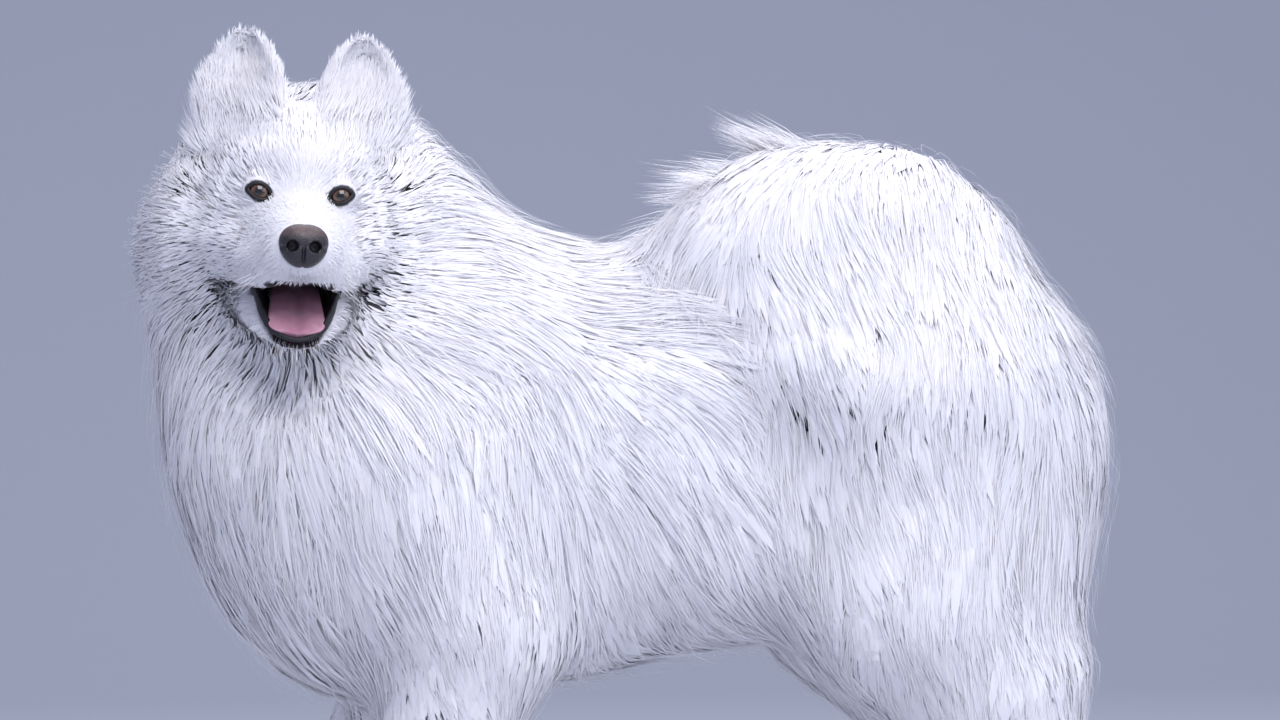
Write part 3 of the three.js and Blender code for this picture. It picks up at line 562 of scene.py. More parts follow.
def noise(tree, scale, detail=3.0):
    node = tree.nodes.new("ShaderNodeTexNoise")
    node.inputs["Scale"].default_value = scale
    node.inputs["Detail"].default_value = detail
    tree.links.new(tree.nodes.new("ShaderNodeTexCoord").outputs["Object"], node.inputs["Vector"])
    return node.outputs["Fac"]


def bump(tree, shader, height, strength, distance):
    node = tree.nodes.new("ShaderNodeBump")
    node.inputs["Strength"].default_value = strength
    node.inputs["Distance"].default_value = distance
    tree.links.new(height, node.inputs["Height"])
    tree.links.new(node.outputs["Normal"], shader.inputs["Normal"])


def ramp(tree, factor, stops):
    node = tree.nodes.new("ShaderNodeValToRGB")
    node.color_ramp.elements.remove(node.color_ramp.elements[1])
    for i, (at, colour) in enumerate(stops):
        element = node.color_ramp.elements[0] if i == 0 else node.color_ramp.elements.new(at)
        element.position = at
        element.color = (*colour, 1)
    tree.links.new(factor, node.inputs["Fac"])
    return node.outputs["Color"]


def fur_material(name):
    made, tree, shader = material(name, Roughness=0.6, Sheen_Weight=0.2, Sheen_Roughness=0.4)
    shader.inputs["Specular IOR Level"].default_value = 0.25
    tree.links.new(coat_colour(tree), shader.inputs["Base Color"])
    return made


def grained(name, scale, stops, bump_grain, detail, strength, depth, **sockets):
    """A material whose colour runs between stops in patches, with a finer bump."""
    made, tree, shader = material(name, **sockets)
    tree.links.new(ramp(tree, noise(tree, scale, 4), stops), shader.inputs["Base Color"])
    bump(tree, shader, noise(tree, bump_grain, detail), strength, depth)
    return made, tree, shader


def skin_material():
    """White skin, black where the mesh's colours say so."""
    made, tree, shader = grained("skin", 420, [(0.3, (0.86, 0.86, 0.88)), (0.7, (1, 1, 1))], 700, 3, 0.5,
                                 0.0012, Roughness=0.7)
    product = tree.nodes.new("ShaderNodeMix")
    product.data_type = "RGBA"
    product.blend_type = "MULTIPLY"
    product.inputs["Factor"].default_value = 1.0
    fleck = shader.inputs["Base Color"].links[0].from_socket
    tree.links.new(coat_colour(tree), product.inputs["A"])
    tree.links.new(fleck, product.inputs["B"])
    tree.links.new(product.outputs["Result"], shader.inputs["Base Color"])
    return made


# The skin: one surface over the whole dog

FINE, COARSE = ((2.4, 5.0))
FLOOR_GAP = 0.4
skin_axes = [
    grid_axis(-400, 400, -372, -186, COARSE, FINE),
    grid_axis(-210, 190, -206, -44, COARSE, FINE),
    grid_axis(-6, 790, 500, 775, COARSE, FINE),
]
skin_points, skin_quads = surface(skin_field, skin_axes)
skin_points[:, 2] = np.maximum(skin_points[:, 2], FLOOR_GAP)
skin = mesh_object("skin", skin_points, skin_quads)

FUR_WHITE = np.array([0.935, 0.922, 0.95])
MOUTH_BLACK = np.array([0.022, 0.014, 0.017])


# Half the width of the lower jaw from its front to the corners of the mouth
JAW_PLACES = [-56, -50, -44, -16, 26]
JAW_HALF_WIDTHS = [0, 14, 22, 33, 44]


def mouth_share(p):
    """How far places in the head's directions are bare black skin in and round the mouth, from 0 to 1."""
    x, y, z = np.abs(p[:, 0]), p[:, 1], p[:, 2]
    room = np.minimum(ellipsoid(p, *MOUTH_ROOF), ellipsoid(p, *MOUTH_FLOOR))
    from_side = np.interp(y, JAW_PLACES, JAW_HALF_WIDTHS) - x
    on_jaw = smooth_step(above_jaw(p), -3.5, -1.0) * smooth_step(from_side, 3, 6) * (z < -56)
    under_lip = smooth_step(-polygon_distance(p[:, 1:], MOUTH_SIDE), -1.7, -0.8) * (z > -80)
    under_lip *= 1 - smooth_step(x, 32, 38)
    inside = smooth_step(-room, -2.5, 0.5)
    return np.maximum.reduce([inside, on_jaw, under_lip]) * ((x < 50) & (y < 14) & (y > -72))


skin_places = into_head(skin_points)
bare = mouth_share(skin_places)
for side in SIDES:
    bare = np.maximum(bare, 1 - smooth_step(eye_opening(skin_places, side, 11.2, 8.6), 0.9, 1.1))
skin_colour = mix(FUR_WHITE * 0.95, MOUTH_BLACK, bare[:, None])
colour_layer(skin.data, skin_colour)
skin.data.materials.append(skin_material())
FLESH_NODES = [
    "head", "jaw", "ear_left", "ear_right", "neck", "torso", "tail", "foreleg_left", "foreleg_right",
    "hindleg_left", "hindleg_right", "forepaw_left", "forepaw_right", "hindpaw_left", "hindpaw_right",
]
belongs(skin, "coat", *FLESH_NODES)


# The face's own pieces

def ring_faces(rings, spokes, closed=False):
    """Quads from each ring of points to the next, and from the last to the first if closed."""
    i, j = np.divmod(np.arange((rings if closed else rings - 1) * spokes), spokes)
    k, after = (j + 1) % spokes, (i + 1) % rings
    return np.stack([i * spokes + j, i * spokes + k, after * spokes + k, after * spokes + j], 1)


def ball(rings, spokes):
    """For each point of a ball, its angle from the first pole and its turn round the axis."""
    angle = np.repeat(math.pi * np.arange(rings + 1) / rings, spokes)
    return angle, np.tile(2 * math.pi * np.arange(spokes) / spokes, rings + 1)


PUPIL_BLACK = np.array([0.002, 0.002, 0.002])
IRIS_BROWNS = np.array([0.045, 0.02, 0.012]), np.array([0.17, 0.085, 0.045])
EYE_BLACK = np.array([0.006, 0.004, 0.004])
EYE_PLACE = 9


def eye_mesh(side):
    """A ball whose first ring is the middle of the pupil, with a slight bulge of the cornea."""
    rings, spokes = 48, 64
    angle, turn = ball(rings, spokes)
    radius = EYE_RADIUS + 0.55 * np.exp(-1.2 * (angle / 0.5) ** 2)
    points = np.column_stack([radius * np.sin(angle) * np.cos(turn), -radius * np.cos(angle),
                              radius * np.sin(angle) * np.sin(turn)])
    made = mesh_object(f"eye_ball_{hand(side)}", points + [side * EYE_SPREAD, EYE_PLACE, 0],
                       ring_faces(rings + 1, spokes), in_head=True)
    degrees = np.degrees(angle)
    spoke = np.tile(np.arange(spokes), rings + 1)
    streak = 0.5 + 0.5 * np.sin(spoke * 7.0 + 3 * np.sin(spoke * 2.3))
    iris = mix(*IRIS_BROWNS, (smooth_step(degrees, 16, 28) * mix(0.6, 1.0, streak))[:, None])
    colour = mix(PUPIL_BLACK, iris, smooth_step(degrees, 14, 17)[:, None])
    colour_layer(made.data, mix(colour, EYE_BLACK, smooth_step(degrees, 32, 38)[:, None]))
    shiny, tree, shader = material(f"eye_{side}", Roughness=0.08, Coat_Weight=1.0, Coat_Roughness=0.02)
    tree.links.new(coat_colour(tree), shader.inputs["Base Color"])
    made.data.materials.append(shiny)
    belongs(made, "eyes", f"eye_{hand(side)}")


for side in SIDES:
    eye_mesh(side)


def dark_leather(name, colour, roughness, grain, depth, wet=0.25):
    """Grained bare skin of a colour, or of the mesh's own colours."""
    made, tree, shader = material(name, Roughness=roughness, Coat_Weight=wet, Coat_Roughness=0.25)
    if colour is None:
        tint = coat_colour(tree)
    else:
        lighter = [c * 1.9 + 0.004 for c in colour]
        tint = ramp(tree, noise(tree, grain * 0.2, 4), [(0.3, colour), (0.72, lighter)])
    tree.links.new(tint, shader.inputs["Base Color"])
    cells = tree.nodes.new("ShaderNodeTexVoronoi")
    cells.inputs["Scale"].default_value = grain
    tree.links.new(tree.nodes.new("ShaderNodeTexCoord").outputs["Object"], cells.inputs["Vector"])
    bump(tree, shader, cells.outputs["Distance"], 0.6, depth)
    return made


NOSE_BLACK = np.array([0.02, 0.018, 0.024])
NOSE_BROWN = np.array([0.115, 0.07, 0.068])


def nose_piece():
    """A rounded pad with two nostrils, a slit at the side of each and a groove between them."""
    rings, spokes = 64, 96
    angle, turn = ball(rings, spokes)
    x, y, z = np.sin(angle) * np.cos(turn), np.cos(angle), np.sin(angle) * np.sin(turn)
    fuller = 1 + 0.16 * (np.abs(x * z) + np.abs(x * y) + np.abs(y * z))
    narrower = np.where(z < 0, 1 + 0.26 * z, 1)
    made = np.column_stack([x * fuller * narrower * 18.2, y * fuller * 13.5, z * fuller * 16]) + NOSE
    front = smooth_step(-made[:, 1], 78, 90)
    for side in SIDES:
        across, height = made[:, 0], made[:, 2]
        hole = ((across - side * 8.4) / 4.4) ** 2 + ((height + 43.5) / 4.2) ** 2
        slit_height = -46.5 + 0.4 * (abs(across) - 12)
        slit = ((across - side * 14.5) / 5.6) ** 2 + ((height - slit_height) / 2.0) ** 2
        sink = np.maximum(1 - smooth_step(hole, 0.45, 1.25), 0.3 * (1 - smooth_step(slit, 0.4, 1.3)))
        made[:, 1] += 9.0 * sink * front
    groove = (1 - smooth_step(np.abs(made[:, 0]), 0.5, 1.8)) * smooth_step(-made[:, 2], 42, 48)
    made[:, 1] += 2.4 * groove * front
    piece = mesh_object("nose_pad", made, ring_faces(rings + 1, spokes), in_head=True)
    # the pad turns browner over its top and front
    brown_top = smooth_step(z + 0.25 * ripple(made, 9, 12), 0.1, 0.75) * smooth_step(-y, -0.6, 0.5)
    colour_layer(piece.data, mix(NOSE_BLACK, NOSE_BROWN, brown_top[:, None] * 0.8))
    piece.data.materials.append(dark_leather("nose_leather", None, 0.42, 900, 0.0006))
    belongs(piece, "nose", "nose")


nose_piece()


def swept(name, path, section, closed=False, spokes=16):
    """A tube along a path in the head; section(i) gives its two half sizes and the way of the first."""
    points = []
    count = len(path)
    for i in range(count):
        ahead = path[(i + 1) % count] if closed or i + 1 < count else path[i]
        behind = path[i - 1] if closed or i > 0 else path[i]
        along = (ahead - behind) / np.linalg.norm(ahead - behind)
        a, b, way = section(i)
        first = way - along * (way @ along)
        first /= np.linalg.norm(first)
        second = np.cross(along, first)
        for j in range(spokes):
            turn = 2 * math.pi * j / spokes
            points.append(path[i] + first * a * math.cos(turn) + second * b * math.sin(turn))
    return mesh_object(name, np.array(points), ring_faces(count, spokes, closed), in_head=True)


def lid_rim(side):
    """The bare dark edge of the lids, as a ring that follows the opening over the eye."""
    count = 56
    path = []
    for i in range(count):
        turn = 2 * math.pi * i / count
        x = 9.4 * math.cos(turn)
        z = math.copysign(abs(math.sin(turn)) ** LID_CURVE, math.sin(turn))
        z = z * (6.6 if z > 0 else 6.0) * (1 - 0.12 * math.cos(turn) * side) + EYE_SLANT * side * x
        depth = math.sqrt(max((EYE_RADIUS + 1.2) ** 2 - x ** 2 - z ** 2, 4.0))
        path.append([side * EYE_SPREAD + x, EYE_PLACE - depth, z])
    path = np.array(path)
    middle = np.array([side * EYE_SPREAD, EYE_PLACE, 0])

    def section(i):
        corner = abs(math.cos(2 * math.pi * i / count)) ** 6
        return 1.2, 1.5 + 0.9 * corner, path[i] - middle

    rim = swept(f"lid_rim_{hand(side)}", path, section, closed=True, spokes=12)
    rim.data.materials.append(rim_leather)
    belongs(rim, "lips")


rim_leather = dark_leather("rim_leather", (0.007, 0.006, 0.008), 0.6, 700, 0.0003, 0.08)
for side in SIDES:
    lid_rim(side)


LIP_SIDE = [[38, 4, -65], [31, -15, -78], [26, -32, -93], [17, -47, -107]]
LIP_PATH = [[-x, y, z] for x, y, z in LIP_SIDE] + [[0, -54, -113]] + LIP_SIDE[::-1]


def lip_piece():
    t = np.linspace(0, 1, 121)
    path = through(LIP_PATH, t)

    def section(i):
        corner = abs(2 * t[i] - 1)
        scallop = 1 + 0.1 * math.cos(t[i] * 120) * (0.3 + corner)
        width = mix(1.8, 7.6, corner ** 1.5) * scallop
        close = 1 - max(0, (corner - 0.9) / 0.1) ** 2 * 0.9
        inward = np.array([-path[i][0], -(path[i][1] + 20), 0.0])
        return 2.1 * close, width * close, inward / np.linalg.norm(inward)

    piece = swept("lower_lip", path, section, spokes=14)
    piece.data.materials.append(rim_leather)
    belongs(piece, "lips", "lips")


lip_piece()

TONGUE = [[0, 22, -72], [0, -2, -80.5], [0, -24, -92], [0, -42, -103], [0, -53, -110.5]]


def tongue_piece():
    """A tongue with a rounded tip and a groove along its top."""
    stations, spokes = 40, 48
    t = np.linspace(0, 1, stations)
    path = through(TONGUE, t)
    ahead = through(TONGUE, t + 0.01) - through(TONGUE, t - 0.01)
    points = []
    for i in range(stations):
        up = unit(np.cross([1, 0, 0], unit(ahead[i])))
        up *= math.copysign(1, up[2])
        round_tip = math.sqrt(max(0, 1 - max(0, (t[i] - 0.72) / 0.28) ** 2.4))
        half = mix(17, 21.5, min(1, t[i] * 1.6)) * max(round_tip, 0.02)
        thick = mix(5, 3.6, t[i]) * max(round_tip, 0.25)
        for j in range(spokes):
            turn = 2 * math.pi * j / spokes
            across = math.sin(turn)
            groove = -2.2 * math.exp(-((across / 0.2) ** 2)) if math.cos(turn) > 0 else 0
            rise = thick * math.cos(turn) + groove + 2.5 * across ** 2
            points.append(path[i] + np.array([half * across, 0, 0]) + up * rise)
    piece = mesh_object("tongue_soft", np.array(points), ring_faces(stations, spokes), in_head=True)
    pinks = [(0.3, (0.58, 0.26, 0.36)), (0.7, (0.72, 0.4, 0.5))]
    made, _, _ = grained("tongue_skin", 90, pinks, 1500, 2, 0.5, 0.0005, Roughness=0.36,
                         Subsurface_Weight=0.25, Subsurface_Radius=(0.006, 0.002, 0.0015),
                         Coat_Weight=0.35, Coat_Roughness=0.18)
    piece.data.materials.append(made)
    belongs(piece, "tongue", "tongue")


tongue_piece()

# The coat

FACE = np.array([EYES[0] + 2, EYES[1], EYES[2] - 40])
HEAD_PART, TAIL_PART = PART_NAMES.index("head"), PART_NAMES.index("tail")


def weights(points):
    """How much each part of the body counts at points."""
    made = np.zeros((len(points), len(PART_NAMES)))
    for b, part in BONES:
        made[:, part] += np.exp(np.clip(-bone_distance(b, points, 0.5) / 12.0, -80, 60))
    return made / (made.sum(1, keepdims=True) + 1e-30)


def nearest_of(points, line):
    """The number of the nearest point of a line, for each of many points."""
    made = np.empty(len(points), int)
    for start in range(0, len(points), 4000):
        part = points[start:start + 4000]
        made[start:start + 4000] = np.argmin(((part[:, None, :] - line[None]) ** 2).sum(2), 1)
    return made


def lie_at(points, share):
    """The way the coat lies at points, before it is laid along the surface."""
    n = len(points)
    p = into_head(points)
    head_way = unit(unit(p - [0, -60, -40]) + [0, 0.5, 0.0])
    crown = smooth_step(p[:, 2], -5, 60)[:, None]
    head_way = unit(mix(head_way, np.tile([0.0, 0.6, 1.0], (n, 1)), crown * 0.6)) @ HEAD_TURN.T
    away = points - FACE
    away[:, 1] *= 0.25
    reach = np.linalg.norm(away[:, [0, 2]], axis=1)
    strength = np.clip(1.5 - reach / 260, 0, 1.2)[:, None]
    back = np.where(points[:, 2] > 520, 0.9, 0.1)[:, None]
    neck_way = unit(unit(away) * strength + np.hstack([back, np.zeros((n, 1)), -np.ones((n, 1))]))
    high = smooth_step(points[:, 2], 430, 540)
    torso_way = np.column_stack([mix(0.5, 1.0, high), np.zeros(n), mix(-1.0, -0.35, high)])
    line = through(TAIL_LINE, np.linspace(0, 1, 60))
    nearest = nearest_of(points, line)
    tangent = unit(np.gradient(line, axis=0))[nearest]
    off = points - line[nearest]
    droop = smooth_step(np.linalg.norm(off, axis=1), 10, 90)[:, None]
    hang = np.array([-0.05, 0, -1.0]) * mix(0.1, 1.0, droop)
    tail_way = tangent * mix(0.6, 0.1, droop) + unit(off) * 0.6 + hang
    leg_way = np.tile([0.22, 0.0, -1.0], (n, 1))
    ways = [head_way, neck_way, torso_way, tail_way] + [leg_way] * 4
    return unit(sum(share[:, k:k + 1] * unit(way) for k, way in enumerate(ways)))


ROOT_LEVEL = 0.7


def coat_field(points):
    """A surface near the top of the coat, below 0 inside, with the mouth left open."""
    made = field(points, ROOT_LEVEL)
    near = np.abs(points - (EYES + [0, 10, 0])).max(1) < 200
    p = into_head(points[near])
    made[near] = np.maximum(made[near], -np.minimum(polygon_distance(p[:, 1:], MOUTH_SIDE),
                                                    ellipsoid(p, [0, -26, -82], [60, 60, 40])))
    return made


def quad_samples(points, quads, count, weigh=None):
    """Places spread over a mesh of quads by area, with the way out of it."""
    a, b, c, d = (points[quads[:, k]] for k in range(4))
    normal = np.cross(c - a, d - b) * 0.5
    area = np.linalg.norm(normal, axis=1)
    if weigh is not None:
        area = area * weigh((a + b + c + d) / 4)
    chosen = rng.choice(len(area), count, p=area / area.sum())
    u, v = rng.random((2, count, 1))
    place = (a[chosen] * (1 - u) * (1 - v) + b[chosen] * u * (1 - v)
             + c[chosen] * u * v + d[chosen] * (1 - u) * v)
    return place, unit(normal[chosen])


def turned(v, axis, angle):
    """Directions turned about unit axes."""
    c, s = np.cos(angle)[:, None], np.sin(angle)[:, None]
    return v * c + np.cross(axis, v) * s + axis * (v * axis).sum(1, keepdims=True) * (1 - c)


def coat_depth(points):
    """The whole depth of the coat over places near the coat's core."""
    return field(points, -1.0) - field(points, 1.0)


PATH_SHARES = (0.0, 0.38, 0.72, 1.0)
PATH_RISES = (0.0, 0.88, 0.97, 1.0)
SHORT_SHARES = (0.0, 0.5, 1.0)
ROOT_DEPTH = 0.8


def long_paths(roots, share, length, tip_level, first_level):
    """Paths of long hair: each starts deep in the coat, rises through it and lies along it."""
    n = len(roots)
    bend = 0.26 * ripple(roots, 150, 3) + 0.27 * ripple(roots, 55, 4) + rng.normal(0, 0.1, n)
    point = roots.copy()
    path, outs = [], []
    for i, at in enumerate(PATH_SHARES):
        level = mix(first_level, tip_level, PATH_RISES[i])
        out = slope(point, level)
        point = point - out * np.clip(field(point, level), -40, 40)[:, None]
        path.append(point.copy())
        outs.append(out)
        if i + 1 < len(PATH_SHARES):
            way = lie_at(point, share)
            along = unit(way - out * (way * out).sum(1, keepdims=True) * 0.92)
            along = turned(along, out, bend * (1 - 0.5 * at))
            point = point + along * (length * (PATH_SHARES[i + 1] - at))[:, None]
    return np.stack(path, 1), np.stack(outs, 1)


def short_paths(roots, out, length, lift):
    """Paths of short hair that lies flat on the skin."""
    share = weights(roots)
    way = short_lie(roots, share)
    along = unit(way - out * (way * out).sum(1, keepdims=True))
    along = turned(along, out, 0.16 * ripple(roots, 34, 5) + rng.normal(0, 0.13, len(roots)))
    path = []
    for at in SHORT_SHARES:
        rise = -ROOT_DEPTH + (lift + ROOT_DEPTH) * math.sin(at * math.pi / 2)
        path.append(roots + along * (length * at)[:, None] + out * rise[:, None])
    return np.stack(path, 1), np.repeat(out[:, None], 3, 1), share


def short_lie(points, share):
    p = into_head(points)
    on_ear = smooth_step(p[:, 2], 8, 76)[:, None]
    made = lie_at(points, share)
    up = np.tile([0.0, 0.15, 1.0], (len(points), 1)) @ HEAD_TURN.T
    return unit(mix(made, up, on_ear))


def clumped(path, roots, size, pull):
    """Draws the outer ends of tufts together in locks."""
    count = max(1, int(len(roots) / size))
    seeds = rng.choice(len(roots), count, replace=False)
    owner = nearest_seed(roots, roots[seeds])
    lead = path[seeds][owner]
    offset = (roots - roots[seeds][owner])[:, None]
    for i in range(1, path.shape[1]):
        at = i / (path.shape[1] - 1)
        target = lead[:, i] + offset[:, 0] * 0.35
        near = np.linalg.norm(target - path[:, i], axis=1)
        hold = pull * at ** 1.3 * np.clip(1.6 - near / 45, 0, 1)
        path[:, i] = mix(path[:, i], target, hold[:, None])
    return path


def nearest_seed(points, seeds):
    tree = kdtree.KDTree(len(seeds))
    for i, seed in enumerate(seeds):
        tree.insert(seed, i)
    tree.balance()
    return np.array([tree.find(p)[1] for p in points])


# The unwrap of the skin: a strip for each part of the body, along it and round it
PART_LINES = {
    "head": ([-278, -170, 585], [-280, -20, 640]), "neck": ([-262, 0, 610], [-200, 0, 330]),
    "torso": ([-260, 0, 430], [300, 0, 450]), "tail": ([262, 0, 520], [60, -62, 590]),
    "foreleg_left": ([-150, -75, 430], [-180, -75, 0]), "foreleg_right": ([-170, 75, 430], [-235, 75, 0]),
    "hindleg_left": ([200, -65, 480], [280, -75, 0]), "hindleg_right": ([200, 65, 480], [270, 75, 0]),
}


def unwrap(points, part):
    """Places on the unwrap, from 0 to 1: the parts stand in four columns and two rows."""
    start, end = (np.array(p, float) for p in PART_LINES[PART_NAMES[part]])
    axis = end - start
    length = np.linalg.norm(axis)
    axis = axis / length
    first = unit(np.cross(axis, [0.3, 0.5, 0.81]))
    second = np.cross(axis, first)
    off = points - start
    along = np.clip(((off @ axis) / length + 0.25) / 1.5, 0, 1)
    angle = np.arctan2(off @ second, off @ first) / (2 * math.pi) + 0.5
    row, column = divmod(part, 4)
    return np.column_stack([(column + 0.01 + 0.96 * angle) / 4, (row + 0.01 + 0.96 * along) / 2])


# Corners from this number on are those of a tuft's underside
UNDER = 100
LONG_TAPER = np.array([0.3, 1.0, 0.78, 0.0])
SHORT_TAPER = np.array([0.6, 1.0, 0.0])
PATCH = 0.003


def tuft_mesh(name, path, outs, width, height, colours, part):
    """One mesh of closed, tapered tufts with three sides, one for each path; the side towards the
    skin has corners of its own, so that it is shaded as an underside."""
    count, steps = path.shape[:2]
    along = unit(np.gradient(path, axis=1))
    across = unit(np.cross(outs, along))
    over = np.cross(along, across)
    taper = LONG_TAPER if steps == len(LONG_TAPER) else SHORT_TAPER
    rings = []
    for i in range(steps - 1):
        half = (0.5 * width * taper[i])[:, None]
        tall = (height * taper[i])[:, None]
        rings.append(np.stack([path[:, i] + across[:, i] * half, path[:, i] + over[:, i] * tall,
                               path[:, i] - across[:, i] * half], 1))
    tip = 3 * (steps - 1)
    pattern = [[UNDER, UNDER + 2, UNDER + 1]]
    for i in range(steps - 1):
        for j in range(3):
            k = (j + 1) % 3
            below = UNDER if j == 2 else 0
            a, b, c, d = (below + corner for corner in (3 * i + j, 3 * i + k, 3 * i + 3 + k, 3 * i + 3 + j))
            pattern += [[a, b, c], [a, c, d]] if i < steps - 2 else [[a, b, below + tip]]
    used, pattern = np.unique(pattern, return_inverse=True)
    pattern = pattern.reshape(-1, 3)
    corner, below = used % UNDER, used >= UNDER
    points = np.concatenate([np.concatenate(rings, 1), path[:, -1:]], 1)[:, corner]
    faces = (pattern[None] + len(used) * np.arange(count)[:, None, None]).reshape(-1, 3)
    piece = mesh_object(name, points.reshape(-1, 3), faces)
    mesh = piece.data
    ring_of = corner // 3
    corner_of = np.where(corner == tip, 1, corner % 3)
    colour_layer(mesh, np.clip(colours[:, ring_of], 0, 1).reshape(-1, 3))
    own = unit(np.stack([across, over, -across], 2)[:, ring_of, corner_of])
    lean = 0.2 * ripple(path[:, 0], 34, 21) + 0.08 * ripple(path[:, 0], 13, 22)
    leant = outs + across * lean[:, None, None]
    soft = unit(leant[:, ring_of] * 0.9 + own * 0.1) * np.where(below, -1, 1)[:, None]
    normals = mesh.attributes.new("custom_normal", "FLOAT_VECTOR", "POINT")
    normals.data.foreach_set("vector", soft.astype(np.float32).ravel())
    place = unwrap(path[:, 0], part)
    spot = place[:, None] + PATCH * np.column_stack([corner_of / 2, ring_of / (steps - 1)])[None]
    uv = mesh.uv_layers.new(name="OFBake")
    uv.data.foreach_set("uv", spot.reshape(-1, 2)[faces.ravel()].astype(np.float32).ravel())
    return piece


coat_fur = fur_material("coat_fur")
# The most tufts in one piece, by the steps in a tuft's path, to keep each piece below 200,000 triangles
MOST_TUFTS = {4: 12000, 3: 18000}


def coat_pieces(kind, path, outs, share, width, height, colours):
    """Tufts as pieces named after the kind of hair and the part of the body that they grow on."""
    part_of = share.argmax(1)
    for part, part_name in enumerate(PART_NAMES):
        chosen = np.nonzero(part_of == part)[0]
        most = MOST_TUFTS[path.shape[1]]
        for n, start in enumerate(range(0, len(chosen), most)):
            these = chosen[start:start + most]
            piece = tuft_mesh(f"{kind}_{part_name}_{n}", path[these], outs[these], width[these],
                              height[these], colours[these], part)
            piece.data.materials.append(coat_fur)
            belongs(piece, "coat")


def shades(count, steps, painted_root_shade=0.8, spread_of=0.022):
    """Coat colours: painted shade darkens each tuft towards its root, where the coat over it shades it, and
    each tuft a little different.
    """
    own = rng.normal(1, spread_of, (count, 1, 1))
    warm = rng.normal(0, 0.008, (count, 1, 1)) * np.array([1, 0.2, -1])
    # painted shade: darker towards the root, standing in for the shade deep in the coat
    rise = mix(painted_root_shade, 1.0, np.linspace(0, 1, steps) ** 0.7)[None, :, None]
    return FUR_WHITE * own * rise + warm


DENSITY = 1.0
coat_axes = [grid_axis(-410, 400, -380, -200, 8, 6), grid_axis(-200, 190, -150, -60, 8, 6),
             grid_axis(-6, 790, 480, 700, 8, 6)]
coat_points, coat_quads = surface(coat_field, coat_axes)


def long_weight(points):
    """How thickly long hair stands at points: nowhere that the coat is thin, and most on the back."""
    depth = coat_depth(points)
    return smooth_step(depth, 7, 13) * (1 + 0.5 * smooth_step(points[:, 2], 480, 560))


def face_share(points):
    """1 on the face, which has no long hair, falling to 0 over the cheeks and the crown."""
    x, y, z = into_head(points).T
    round_face = np.hypot(x / 50, (z + 40) / 86)
    return (1 - smooth_step(round_face, 0.9, 1.65)) * (1 - smooth_step(y, 22, 74))


def on_ears(points):
    """Whether points are in front of the ears or on them."""
    x, y, z = into_head(points).T
    return (z > 46) & (z < 140) & (np.abs(x) > 9) & (np.abs(x) < 84) & (y < 62)


def cheek_weight(points):
    """How thickly the finer coat of the cheeks and the crown stands at points."""
    near = np.linalg.norm((points - FACE) * [1, 0.8, 0.9], axis=1)
    return long_weight(points) * (1 - smooth_step(near, 90, 190)) + 1e-6


WIDE = 4.0
ALONG_FACE = -0.35
FACE_ROOT = -0.8


def long_coat(kind, count, reach, tips, first_level, widest, tall, outliers=0.0, locks=(), weigh=long_weight):
    """One layer of long hair.

    Each tuft is reach times the coat's depth long, and its tip lies at a level from tips. A few outliers
    stand out further. Locks gather as many tufts as each says, as strongly as it says."""
    roots, _ = quad_samples(coat_points, coat_quads, int(count * DENSITY), weigh)
    near_face = face_share(roots)
    roots, near_face = roots[near_face < 0.93], near_face[near_face < 0.93]
    depth = coat_depth(roots)
    share = weights(roots)
    near_face = np.maximum(near_face, share[:, HEAD_PART] * (1 - smooth_step(depth, 8, 45)))
    length = np.clip(reach * depth, 20, 120) * rng.uniform(0.78, 1.2, len(roots)) * mix(1.0, 0.6, near_face)
    tip_level = rng.uniform(*tips, len(roots))
    tip_level += (rng.random(len(roots)) < outliers) * rng.uniform(0, 0.25, len(roots))
    swell = 0.09 * ripple(roots, 75, 31) + 0.04 * ripple(roots, 27, 32)
    path, outs = long_paths(roots, share, length, mix(tip_level + swell, ALONG_FACE, near_face),
                            mix(first_level + swell, FACE_ROOT, near_face))
    for size, pull in locks:
        path = clumped(path, roots, size, pull)
    keep = (path[:, :, 2].min(1) > 4) & ~on_ears(path[:, 0]) & ~on_ears(path[:, -1])
    keep &= (face_share(path[:, -1]) < 0.97) & ((near_face < 0.5) | (widest < WIDE))
    path, outs, share, depth = path[keep], outs[keep], share[keep], depth[keep]
    width = widest * np.clip(0.35 + depth / 90, 0.45, 1) * rng.uniform(0.6, 1.25, len(path))
    width *= 1 - 0.6 * share[:, HEAD_PART] * (widest > WIDE)
    coat_pieces(kind, path, outs, share, width, width * tall, shades(len(path), 4, 0.97))


# Long hair all over the body: soft broad tufts below, finer ones over them
long_coat("coat_base", 9000, reach=1.15, tips=(0.78, 0.82), first_level=0.5, widest=17.0, tall=0.04)
long_coat("coat_under", 15000, reach=1.15, tips=(0.84, 0.875), first_level=0.65, widest=8.0, tall=0.04)
long_coat("coat_cheek", 10500, reach=1.0, tips=(0.8, 0.86), first_level=0.6, widest=2.8, tall=0.06,
          weigh=cheek_weight)
long_coat("coat_long", 37000, reach=1.15, tips=(0.885, 0.96), first_level=0.8, widest=1.08, tall=0.12,
          outliers=0.04, locks=[(160, 0.3), (14, 0.25)])
long_coat("coat_stray", 4000, reach=1.0, tips=(1.0, 1.3), first_level=0.8, widest=0.6, tall=0.3,
          locks=[(20, 0.3)])


# Wisps that fan out forward from the tail's end; the fan's outline is given by x and z
FAN = [[100, 690], [63, 698], [39, 690], [7, 666], [-9, 638], [-21, 611], [-17, 592]]


